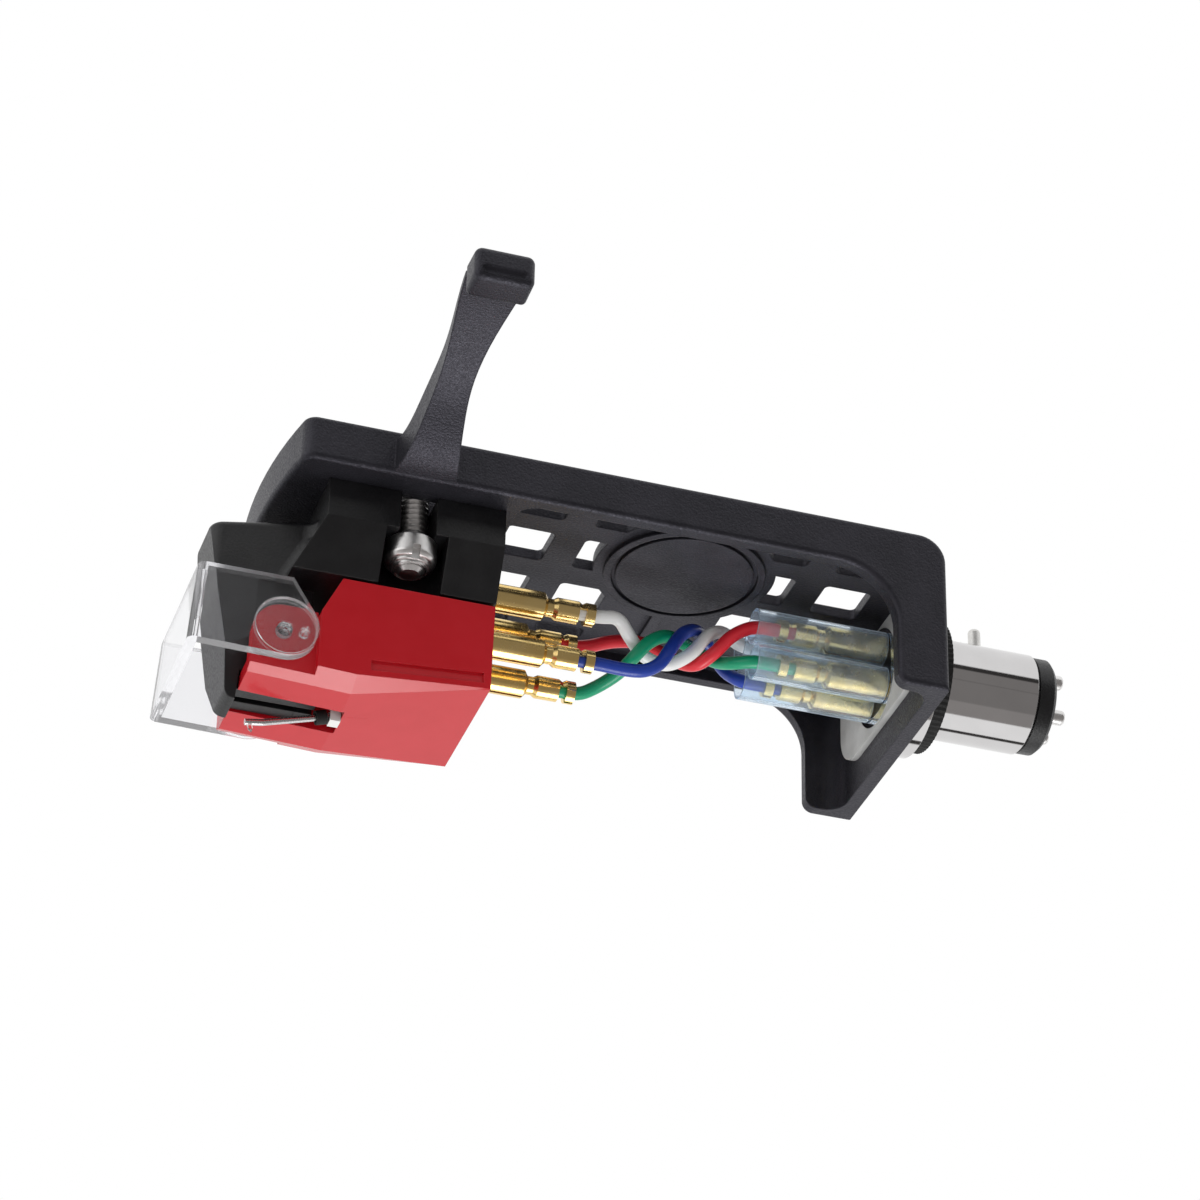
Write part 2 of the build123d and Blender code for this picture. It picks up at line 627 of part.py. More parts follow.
# Mounting hardware
def screw():
    thread = SCREW_DIAMETER / 2
    head = SCREW_HEAD_DIAMETER / 2
    end_z = MOUNT_Z - SCREW_END_DROP
    shank = post(0, 0, end_z, WEB_TOP, thread)
    shank = chamfer(shank.edges().group_by(Axis.Z)[0], SCREW_POINT)
    cap = post(0, 0, WEB_TOP, WEB_TOP + SCREW_HEAD_HEIGHT, head)
    cap = fillet(cap.edges().group_by(Axis.Z)[-1], SCREW_HEAD_HEIGHT / 3)
    slot_z = WEB_TOP + SCREW_HEAD_HEIGHT / 2
    return shank + cap - block(-head, head, -SCREW_SLOT_CUT / 2, SCREW_SLOT_CUT / 2, slot_z, TOP_Z)


def spun(points):
    return revolve(Plane.XZ * make_face(Polyline(*points, close=True)), axis=Axis.Z)


def nut():
    radius = NUT_DIAMETER / 2
    bore = SCREW_DIAMETER / 2 + FIT
    level = WAIST_Z - NUT_SKIRT
    points = [(bore, WAIST_Z), (radius, WAIST_Z), (radius, level)]
    level -= NUT_BEVEL
    radius -= NUT_BEVEL
    points.append((radius, level))
    for _ in range(NUT_RINGS):
        radius -= NUT_RING_INSET
        points.append((radius, level))
        level -= NUT_RING_STEP
        points.append((radius, level))
    points.append((bore, level))
    body = spun(points)
    notch_low = WAIST_Z - NUT_SKIRT - NUT_BEVEL
    for side in (-1, 1):
        outer = side * NUT_DIAMETER / 2
        inner = outer - side * NUT_NOTCH_DEPTH
        body -= block(
            -NUT_NOTCH_WIDTH / 2, NUT_NOTCH_WIDTH / 2, min(outer, inner), max(outer, inner),
            notch_low, notch_low + NUT_NOTCH_HEIGHT,
        )
    return body


def pair(piece):
    return Compound(children=[Pos(SCREW_X, side * SCREW_PITCH / 2, 0) * piece for side in (-1, 1)])


# Cartridge body
def flange_block():
    half = FLANGE_WIDTH / 2
    section = mirrored_points([(half, MOUNT_Z), (half, WAIST_Z), (BASE_WIDTH / 2, BODY_BASE_Z)])
    front = SCREW_X - FLANGE_FRONT
    profile = [
        (BODY_REAR_X, MOUNT_Z), (front, MOUNT_Z), (front, WAIST_Z),
        (front - FLANGE_RAKE, BODY_BASE_Z), (BODY_REAR_X, BODY_BASE_Z),
    ]
    return end_prism(section, front - FLANGE_RAKE, BODY_REAR_X) & side_prism(profile, FLANGE_WIDTH)


def nose_face(flange_x):
    front = SCREW_X - NOSE_FRONT
    tail = SCREW_X - PLUG_FRONT
    tip_y = NOSE_FRONT_WIDTH / 2
    reach = min(1, (flange_x - front) / NOSE_SIDE_TAPER)
    side_y = tip_y + reach * (NOSE_ROOT_WIDTH / 2 - tip_y)
    shoulder_y = side_y + NOSE_ROOT_RADIUS
    near = [(front, -tip_y), (flange_x, -side_y), (flange_x, -shoulder_y), (tail, -shoulder_y)]
    far = [(x, -y) for x, y in reversed(near)]
    radii = [NOSE_EDGE_RADIUS, NOSE_ROOT_RADIUS, 0, 0]
    return make_face(FilletPolyline(*near, *far, radius=radii + radii[::-1], close=True))


def nose_head(top):
    flange_x = SCREW_X - FLANGE_FRONT
    waist = Pos(0, 0, WAIST_Z) * nose_face(flange_x)
    base = Pos(0, 0, BODY_BASE_Z) * nose_face(flange_x - FLANGE_RAKE)
    upper = extrude(waist, amount=top - WAIST_Z)
    upper = fillet(upper.edges().group_by(Axis.Z)[-1], NOSE_TOP_RADIUS)
    return upper + loft([base, waist], ruled=True)


def prow(front, bottom):
    tip_y = NOSE_FRONT_WIDTH / 2
    half = PROW_WIDTH / 2
    flare = front + NOSE_SIDE_TAPER
    tail = SCREW_X - PLUG_FRONT
    near = [(front, -tip_y), (flare, -NOSE_ROOT_WIDTH / 2), (tail, -NOSE_ROOT_WIDTH / 2)]
    far = [(x, -y) for x, y in reversed(near)]
    wedge = plan_prism(near + far, bottom, BODY_BASE_Z, [NOSE_EDGE_RADIUS, 0, 0, 0, 0, NOSE_EDGE_RADIUS])
    section = mirrored_points([
        (half, BODY_BASE_Z), (half, MOUNT_Z - PROW_SHOULDER), (PROW_TIP_WIDTH / 2, bottom),
    ])
    return wedge & end_prism(section, front, tail)


def nose():
    front = SCREW_X - NOSE_FRONT
    tail = SCREW_X - PLUG_FRONT
    top = MOUNT_Z - NOSE_DROP
    knee = MOUNT_Z - PROW_KNEE
    bottom = MOUNT_Z - PROW_BOTTOM
    floor = HOLDER_TOP - HOLDER_FRONT_DEPTH + HOLDER_FLOOR + SLIDING
    heel = EAR_X - SLIDING
    step = STEP_X - SLIDING
    profile = side_prism(
        [
            (front, top), (front + PROW_KNEE_SETBACK, knee), (front + PROW_BOTTOM_SETBACK, bottom),
            (heel, bottom), (heel, floor), (step, floor), (step, BODY_BASE_Z),
            (tail, BODY_BASE_Z), (tail, top),
        ],
        FLANGE_WIDTH,
        [0, 0, PROW_TOE_RADIUS, 0, 0, 0, 0, 0, 0],
    )
    keel_low = MOUNT_Z - KEEL_DROP
    keel = mid_block(heel, step, SLOT_WIDTH - 2 * SLIDING, keel_low, floor + SLIDING)
    keel -= mid_block(heel, step, KEEL_GROOVE, keel_low, keel_low + KEEL_GROOVE_DEPTH)
    return ((nose_head(top) + prow(front, bottom)) & profile) + keel


def cartridge_body():
    plug_bottom = BODY_BASE_Z - PLUG_DEPTH
    terminal_half = TERMINAL_PLATE_HEIGHT / 2
    plate_low = TERMINAL_Z - terminal_half
    plug_rear = SCREW_X + PLUG_REAR
    shell = flange_block() + nose()
    shell += mid_block(SCREW_X - PLUG_FRONT, plug_rear, PLUG_WIDTH, plug_bottom, BODY_BASE_Z)
    shell += mid_block(plug_rear - SHELL_WALL, BODY_REAR_X, PLUG_WIDTH, plate_low - SHELL_WALL, BODY_BASE_Z)
    plate_x = BODY_REAR_X - TERMINAL_PLATE_THICKNESS
    cave = PLUG_WIDTH / 2 - 2 * SHELL_WALL - RUNNING
    cave_front = SCREW_X - PLUG_FRONT + SHELL_WALL
    cave_top = MOUNT_Z - BODY_ROOF
    shell -= mid_block(cave_front, plate_x, 2 * cave, plate_low, cave_top)
    shell -= mid_block(cave_front, plug_rear - SHELL_WALL, 2 * cave, plug_bottom + SHELL_WALL, plate_low)
    shell -= mid_block(plate_x, BODY_REAR_X, TERMINAL_PLATE_WIDTH, plate_low, TERMINAL_Z + terminal_half)
    for side in (-1, 1):
        y = side * SCREW_PITCH / 2
        outer = side * FLANGE_WIDTH
        bore = SCREW_SLOT_WIDTH / 2
        shell -= post(SCREW_X, y, BODY_BASE_Z, MOUNT_Z, bore)
        shell -= block(SCREW_X - bore, SCREW_X + bore, min(y, outer), max(y, outer), BODY_BASE_Z, MOUNT_Z)
        notch = NOTCH_WIDTH / 2
        shell -= post(SCREW_X, y, BODY_BASE_Z, WAIST_Z, notch)
        shell -= block(SCREW_X - notch, SCREW_X + notch, min(y, outer), max(y, outer), BODY_BASE_Z, WAIST_Z)
        shell -= pole_window(side, plug_bottom)
    return shell


def pole_window(side, plug_bottom):
    core_x = SCREW_X - CORE_FROM_SCREW
    half = CORE_DIAMETER / 2 + FIT
    outer = side * (CORE_OFFSET + half)
    inner = side * (CORE_OFFSET - POLE_REACH - FIT)
    low, high = min(outer, inner), max(outer, inner)
    return block(core_x - half, core_x + half, low, high, plug_bottom, plug_bottom + SHELL_WALL)


def terminal_plate():
    half = TERMINAL_PLATE_HEIGHT / 2
    width = TERMINAL_PLATE_WIDTH - 2 * FIT
    plate_x = BODY_REAR_X - TERMINAL_PLATE_THICKNESS
    plate = mid_block(plate_x, BODY_REAR_X, width, TERMINAL_Z - half + FIT, TERMINAL_Z + half - FIT)
    for _, ends, _ in LEADS.values():
        y, z = terminal_place(ends)
        plate -= rod(plate_x, BODY_REAR_X, TERMINAL_DIAMETER / 2 + FIT, y, z)
    return plate


def terminal_pin(name):
    y, z = terminal_place(LEADS[name][1])
    end = BODY_REAR_X + CLIP_GAP + CLIP_BARREL_LENGTH - FIT
    pin = rod(BODY_REAR_X - TERMINAL_PLATE_THICKNESS, end, TERMINAL_DIAMETER / 2, y, z)
    return chamfer(pin.edges().group_by(Axis.X)[-1], TERMINAL_DIAMETER / 6)


# Generator
def core(side):
    x = SCREW_X - CORE_FROM_SCREW
    y = side * CORE_OFFSET
    pole_z = BODY_BASE_Z - POLE_DEPTH
    half = CORE_DIAMETER / 2
    stem = post(x, y, pole_z, MOUNT_Z - CORE_TOP_DROP, half)
    inner = side * (CORE_OFFSET - POLE_REACH)
    foot = block(x - half, x + half, min(y, inner), max(y, inner), pole_z, pole_z + POLE_HEIGHT)
    return stem + foot


def coil(side):
    x = SCREW_X - CORE_FROM_SCREW
    y = side * CORE_OFFSET
    top = MOUNT_Z - COIL_TOP_DROP
    winding = post(x, y, top - COIL_LENGTH, top, COIL_DIAMETER / 2)
    return winding - post(x, y, top - COIL_LENGTH, top, CORE_DIAMETER / 2 + FIT)


def centre_shield():
    x = SCREW_X - CORE_FROM_SCREW
    low = BODY_BASE_Z - PLUG_DEPTH + SHELL_WALL
    half = SHIELD_LENGTH / 2
    return mid_block(x - half, x + half, SHIELD_THICKNESS, low, MOUNT_Z - BODY_ROOF)


# Stylus holder
def holder_half_width(depth):
    return HOLDER_WIDTH / 2 - depth * math.tan(math.radians(HOLDER_DRAFT))


def holder_section(x, depth, rise, chamfer_width):
    side_depth = depth - rise
    low = holder_half_width(side_depth)
    points = mirrored_points([
        (HOLDER_WIDTH / 2, HOLDER_TOP), (low, HOLDER_TOP - side_depth),
        (low - chamfer_width, HOLDER_TOP - depth),
    ])
    return Plane.YZ.offset(x) * make_face(Polyline(*points, close=True))


def holder_envelope():
    crease_x = SCREW_X - HOLDER_CREASE
    tip = holder_section(EAR_X, HOLDER_FRONT_DEPTH, HOLDER_CHAMFER_RISE, HOLDER_CHAMFER_WIDTH)
    crease = holder_section(crease_x, HOLDER_CREASE_DEPTH, HOLDER_CHAMFER_RISE, HOLDER_CHAMFER_WIDTH)
    tail = holder_section(HOLDER_REAR_X, HOLDER_REAR_DEPTH, HOLDER_REAR_CHAMFER, HOLDER_REAR_CHAMFER)
    return loft([tip, crease], ruled=True) + loft([crease, tail], ruled=True)


def grip_recess(side):
    fall = HOLDER_CREASE_DEPTH - HOLDER_CHAMFER_RISE - HOLDER_REAR_DEPTH
    slope = math.atan2(fall, HOLDER_REAR + HOLDER_CREASE)
    from_rear = GRIP_INSET + GRIP_LENGTH / 2
    depth = HOLDER_REAR_DEPTH - GRIP_LIFT - GRIP_HEIGHT / 2 + math.tan(slope) * from_rear
    y = side * holder_half_width(depth)
    bar = Box(GRIP_LENGTH, 2 * GRIP_DEPTH, GRIP_HEIGHT)
    return Pos(HOLDER_REAR_X - from_rear, y, HOLDER_TOP - depth) * Rot(0, -math.degrees(slope), 0) * bar


def stylus_holder():
    top = HOLDER_TOP
    bottom = top - 2 * HOLDER_FRONT_DEPTH
    envelope = holder_envelope()
    main = side_prism(
        [
            (HOLDER_REAR_X, top), (SCREW_X - HOLDER_SHOULDER, top), (STEP_X, top - HOLDER_SLOPE_DEPTH),
            (STEP_X, bottom), (HOLDER_REAR_X, bottom),
        ],
        HOLDER_WIDTH,
    )
    ear_top = PIVOT_Z + PIVOT_X - EAR_X
    ears = side_prism(
        [(STEP_X, ear_top), (EAR_X, ear_top), (EAR_X, bottom), (STEP_X, bottom)],
        EAR_WIDTH, [0, PIVOT_X - EAR_X, 0, 0],
    )
    holder = (envelope & main) + (envelope & ears)
    floor = top - HOLDER_FRONT_DEPTH + HOLDER_FLOOR
    holder -= mid_block(EAR_X - EAR_WALL, STEP_X, EAR_WIDTH - 2 * EAR_WALL, floor, top)
    plug_bottom = BODY_BASE_Z - PLUG_DEPTH - SLIDING
    plug_width = PLUG_WIDTH + 2 * SLIDING
    plug_rear = SCREW_X + PLUG_REAR + SLIDING
    holder -= mid_block(SCREW_X - PLUG_FRONT - SLIDING, plug_rear, plug_width, plug_bottom, top)
    notch_low = TERMINAL_Z - TERMINAL_PLATE_HEIGHT / 2 - SHELL_WALL - SLIDING
    holder -= mid_block(plug_rear - SLIDING, HOLDER_REAR_X, plug_width, notch_low, top)
    slot_top = floor + SLIDING
    holder -= mid_block(EAR_X - EAR_WALL, SLOT_REAR_X, SLOT_WIDTH, bottom, slot_top)
    holder -= mid_block(STEP_X, SLOT_REAR_X, SLOT_WIDTH, bottom, plug_bottom)
    core_x = SCREW_X - CORE_FROM_SCREW
    half = CORE_DIAMETER / 2 + SLIDING
    pole_low = BODY_BASE_Z - POLE_DEPTH - SLIDING
    pole_width = 2 * (CORE_OFFSET + half)
    holder -= mid_block(core_x - half, core_x + half, pole_width, pole_low, plug_bottom)
    holder -= STYLUS_PLANE * rod(0, MAGNET_FROM_FULCRUM + 2 * MAGNET_LENGTH, MAGNET_BORE)
    for side in (-1, 1):
        socket_y = side * EAR_WIDTH / 2
        inner_y = side * (EAR_WIDTH / 2 - EAR_WALL)
        low, high = min(socket_y, inner_y), max(socket_y, inner_y)
        holder -= cross_pin(PIVOT_X, PIVOT_Z, low, high, GUARD_NUB_RADIUS + FIT)
        holder -= grip_recess(side)
    return holder


# Stylus guard
def guard_outline(inset):
    top_z = PIVOT_Z + GUARD_TOP_RISE
    low_z = PIVOT_Z - GUARD_ROUND + GUARD_BOTTOM_RISE
    front_top = PIVOT_X - GUARD_FRONT_REACH + GUARD_LEAN + inset
    front_low = PIVOT_X - GUARD_FRONT_REACH - GUARD_LEAN + inset
    return front_top, front_low, top_z, low_z


def guard_cheek_face():
    front_top, front_low, top_z, low_z = guard_outline(0)
    crown = (PIVOT_X + GUARD_CROWN, top_z)
    reach = math.acos(GUARD_ROUND / math.hypot(GUARD_CROWN, GUARD_TOP_RISE))
    reach += math.atan2(GUARD_CROWN, GUARD_TOP_RISE)
    heel = (PIVOT_X + GUARD_ROUND * math.sin(reach), PIVOT_Z + GUARD_ROUND * math.cos(reach))
    toe = (PIVOT_X, PIVOT_Z - GUARD_ROUND)
    back = (PIVOT_X + GUARD_ROUND, PIVOT_Z)
    return make_face([
        Line((front_top, top_z), crown),
        Line(crown, heel),
        ThreePointArc(heel, back, toe),
        Line(toe, (front_low, low_z)),
        Line((front_low, low_z), (front_top, top_z)),
    ])


def stylus_guard():
    outer = GUARD_WIDTH / 2
    face = Plane.XZ * guard_cheek_face()
    hull = extrude(face, amount=outer, both=True)
    front_top, front_low, top_z, low_z = guard_outline(GUARD_PLATE)
    far = PIVOT_X + 2 * GUARD_ROUND
    slope = (front_low - front_top) / (low_z - top_z)
    above = top_z + GUARD_ROUND
    below = PIVOT_Z - 2 * GUARD_ROUND
    hollow = side_prism(
        [
            (front_top + slope * (above - top_z), above), (far, above), (far, below),
            (front_top + slope * (below - top_z), below),
        ],
        2 * (outer - GUARD_WALL),
    )
    guard = hull - hollow
    corners = guard.edges().filter_by(lambda edge: abs((edge % 0.5).Y) < 0.01 and abs((edge % 0.5).Z) > 0.9)
    corners = corners.group_by(Axis.X)[0]
    guard = fillet(corners, GUARD_EDGE_RADIUS)
    for side in (-1, 1):
        inner = side * (outer - GUARD_WALL)
        nub_end = side * (EAR_WIDTH / 2 - GUARD_NUB_LENGTH)
        guard += cross_pin(PIVOT_X, PIVOT_Z, min(inner, nub_end), max(inner, nub_end), GUARD_NUB_RADIUS)
        dish = side * (outer - GUARD_DISH_DEPTH)
        skin = side * outer
        guard -= cross_pin(PIVOT_X, PIVOT_Z, min(dish, skin), max(dish, skin), GUARD_DISH_RADIUS)
        bump_x = PIVOT_X + GUARD_BUMP_FROM_PIVOT
        bump_end = side * (EAR_WIDTH / 2 + RUNNING)
        guard += cross_pin(bump_x, PIVOT_Z, min(inner, bump_end), max(inner, bump_end), GUARD_BUMP_RADIUS)
    return guard


# Stylus, built along the tilted axis with the tip towards -X
def cantilever():
    radius = CANTILEVER_DIAMETER / 2
    bend = math.radians(CANTILEVER_BEND_ANGLE)
    tail = MAGNET_FROM_FULCRUM + MAGNET_LENGTH
    rest = CANTILEVER_LENGTH - CANTILEVER_BEND
    end = (-CANTILEVER_BEND - rest * math.cos(bend), 0, rest * math.sin(bend))
    path = Polyline((tail, 0, 0), (-CANTILEVER_BEND, 0, 0), end)
    section = Plane(origin=path @ 0, z_dir=path % 0) * Circle(radius)
    return STYLUS_PLANE * sweep(section, path=path, transition=Transition.RIGHT)


def stylus_tip_place():
    bend = math.radians(CANTILEVER_BEND_ANGLE)
    rest = CANTILEVER_LENGTH - CANTILEVER_BEND - STYLUS_WIDTH
    return -CANTILEVER_BEND - rest * math.cos(bend), rest * math.sin(bend) - CANTILEVER_DIAMETER / 2


def diamond_tip():
    x, z = stylus_tip_place()
    half = STYLUS_HEIGHT / 2
    square = Rectangle(STYLUS_WIDTH, STYLUS_WIDTH)
    shank = Pos(x, 0, z - half) * extrude(square, amount=half)
    point = Pos(x, 0, z - half) * Rot(180, 0, 0) * extrude(square, amount=half, taper=STYLUS_POINT_ANGLE)
    return STYLUS_PLANE * (shank + point)


def damper_ring():
    ring = rod(-DAMPER_FRONT, DAMPER_BACK, DAMPER_DIAMETER / 2)
    bore = CANTILEVER_DIAMETER / 2 + RUNNING
    return STYLUS_PLANE * (ring - rod(-DAMPER_FRONT, DAMPER_BACK, bore))


def stylus_carrier():
    plate = mid_block(
        SLOT_REAR_X - CARRIER_THICKNESS, SLOT_REAR_X, CARRIER_SIZE,
        FULCRUM_Z + CARRIER_LIFT - CARRIER_SIZE / 2, FULCRUM_Z + CARRIER_LIFT + CARRIER_SIZE / 2,
    )
    bore = CANTILEVER_DIAMETER / 2 + 2 * RUNNING
    return plate - STYLUS_PLANE * rod(0, MAGNET_FROM_FULCRUM, bore)


def magnet(side):
    clear = CANTILEVER_DIAMETER / 2 + FIT
    half = MAGNET_SIZE / 2
    bar = block(
        MAGNET_FROM_FULCRUM, MAGNET_FROM_FULCRUM + MAGNET_LENGTH,
        min(side * clear, side * (clear + half)), max(side * clear, side * (clear + half)), -half, half,
    )
    return STYLUS_PLANE * bar


NODES = {
    "headshell": headshell(),
    "stem_tube": stem_tube(),
    "key_pin": key_pin(),
    "gasket": gasket(),
    "contact_insulator": contact_insulator(),
    "stem_plate": stem_plate(),
    "mounting_screws": pair(screw()),
    "mounting_nuts": pair(nut()),
    "cartridge_body": cartridge_body(),
    "terminal_plate": terminal_plate(),
    "centre_shield": centre_shield(),
    "stylus_holder": stylus_holder(),
    "stylus_guard": stylus_guard(),
    "cantilever": cantilever(),
    "diamond_tip": diamond_tip(),
    "damper_ring": damper_ring(),
    "stylus_carrier": stylus_carrier(),
}
for hand, side in (("left", -1), ("right", 1)):
    NODES[f"core_{hand}"] = core(side)
    NODES[f"coil_{hand}"] = coil(side)
    NODES[f"magnet_{hand}"] = magnet(side)
for colour in LEADS:
    NODES[f"contact_pin_{colour}"] = contact_pin(colour)
    NODES[f"terminal_pin_{colour}"] = terminal_pin(colour)
    NODES[f"cartridge_clip_{colour}"] = cartridge_clip(colour)
    NODES[f"headshell_clip_{colour}"] = headshell_clip(colour)
    NODES[f"sleeve_{colour}"] = sleeve(colour)
    NODES[f"lead_{colour}"] = lead(colour)

os.makedirs("parts", exist_ok=True)
for node, solid in NODES.items():
    export_step(solid, f"parts/{node}.step")
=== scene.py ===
import bmesh
import bpy
import json
import math
from mathutils import Matrix, Quaternion, Vector


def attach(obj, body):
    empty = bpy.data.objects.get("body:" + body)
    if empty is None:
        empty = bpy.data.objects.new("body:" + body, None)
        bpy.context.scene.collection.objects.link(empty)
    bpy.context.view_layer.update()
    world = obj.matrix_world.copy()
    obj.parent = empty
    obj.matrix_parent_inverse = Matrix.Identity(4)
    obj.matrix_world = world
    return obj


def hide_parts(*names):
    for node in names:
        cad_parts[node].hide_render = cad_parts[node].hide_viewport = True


# Phono cartridge on a bayonet headshell: looks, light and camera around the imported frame

# A millimetre and the gap below which points count as one, in metres, and a sharp edge's angle in degrees
MM = 0.001
CLOSE = 1e-6
CREASE = 34.0

# Camera that was fitted to the photograph
CAMERA_TURN = (1.00112353, -0.14148953, 0.29550209)
CAMERA_PLACE = (-0.10894, -0.26212, -0.17119)
CAMERA_LENS = 125.84
CAMERA_SENSOR = 36.0
CAMERA_NEAR = 0.01
CAMERA_FAR = 20.0

# Stage, in metres
FLOOR_Z = -0.45
FLOOR_SIZE = 6.0
FLOOR_COLOUR = (0.86, 0.86, 0.86, 1.0)
FLOOR_ROUGHNESS = 0.8

# Studio walls as (angle, brightness) round X: 0 is behind the object, 90 above, 180 the camera's side
WHITE = (1.0, 1.0, 1.0, 1.0)
WALL_TINT = (1.0, 0.95, 0.93)
WALL_TINT_BELOW = 0.5
FULL_TURN = 360.0
BACKDROP_EDGE = (0.0, 0.1)
WALLS = (
    (0.0, 0.95), (144.5, 0.95), (145.5, 0.04), (155.5, 0.04), (156.5, 0.22), (181.0, 0.22), (182.0, 0.10),
    (183.0, 0.22), (229.0, 0.22), (232.0, 0.30), (262.5, 0.30), (263.5, 1.0), (305.5, 1.0), (306.5, 0.05),
    (314.5, 0.05), (315.5, 0.95),
)

# Lamps as (name, place, target, size along X, size across, radiance)
OBJECT_CENTRE = (-0.025, -0.002, -0.002)
HOLDER_CENTRE = (-0.04925, 0.0, -0.010)
LAMPS = (
    ("under_box", (0.028, 0.06, -0.385), HOLDER_CENTRE, 0.12, 0.26, 6.0),
    ("front_fill", (-0.45, -0.22, 0.02), OBJECT_CENTRE, 0.45, 0.35, 0.9),
)

# Mounting screws, the same sizes as the solids, in millimetres
SCREW_X = -44.17
SCREW_PITCH_Y = 12.7
SCREW_PLACES_Y = (-SCREW_PITCH_Y / 2, SCREW_PITCH_Y / 2)
SCREW_RADIUS = 1.25
SCREW_ROOT = 0.98
SCREW_LEAD = 0.45
SCREW_LOW = -2.75
SCREW_POINT = 0.5
SCREW_SEAT = 5.05
SCREW_HEAD_RADIUS = 2.1
SCREW_HEAD_HEIGHT = 1.5
SCREW_HEAD_EDGE = 0.5
SCREW_SLOT = 0.6
SCREW_SLOT_REACH = 8.4
SCREW_SIDES = 64
SCREW_ANGLES = tuple(math.tau * side / SCREW_SIDES for side in range(SCREW_SIDES))
SCREW_ROWS_A_TURN = 10
SCREW_EDGE_STEPS = 6

# Mounting nuts as (radius, height, eased edge), the same sizes as the solids, in millimetres
NUT_OUTLINE = (
    (1.28, -0.15, 0.0), (2.0, -0.15, 0.12), (2.0, -1.70, 0.16), (1.72, -1.98, 0.12), (1.52, -1.98, 0.0),
    (1.52, -2.20, 0.14), (1.32, -2.20, 0.0), (1.32, -2.42, 0.02), (1.28, -2.42, 0.0),
)
NUT_EDGE_STEPS = 6
NUT_NOTCH_WIDTH = 0.6
NUT_NOTCH_DEPTH = 0.55
NUT_NOTCH_HEIGHT = 0.75
NUT_NOTCH_LOW = -1.98

# Bead at the end of the finger lift with its corners rounded, in millimetres
BEAD_X = -44.4
BEAD_FAR_HALF = 2.26
BEAD_NEAR_HALF = 2.24
BEAD_FAR = -30.949
BEAD_NEAR = -28.15
BEAD_LOW = 7.25
BEAD_HIGH = 9.949
BEAD_FAR_ROUND = 0.6
BEAD_NEAR_ROUND = 0.4
BEAD_CUT = -28.14
BEAD_ROOT = 0.3
BEAD_ROOT_NARROWING = 0.9
GROOVE_RADIUS = 0.45
GROOVE_Y = -31.12
GROOVE_Z = 7.9
GROOVE_HALF = 1.35
BALL_SIDES = 48
BALL_ROWS = 24

# Keel behind the nose, carried down from the plug to the damper, in millimetres
KEEL_FRONT = -50.77
KEEL_BACK = -49.42
KEEL_TOP = -9.80
KEEL_LOW = -12.20
KEEL_WIDTH = 2.9
KEEL_GROOVE = 0.7
KEEL_GROOVE_DEPTH = 0.9
KEEL_EDGE = 0.05

# Floor of the holder under the magnet bore, in millimetres
LIP_FRONT = (-47.37, -12.667)
LIP_BACK = (-45.40, -12.376)
LIP_WIDTH = 1.7
LIP_THICKNESS = 0.2

# Guard pivot and dish, in millimetres
PIVOT_X = -53.22
PIVOT_Z = -9.10
DISH_RADIUS = 2.35
DISH_RING = 0.09
NUB_RADIUS = 0.62
BUMP_X = -51.72
BUMP_RADIUS = 0.45

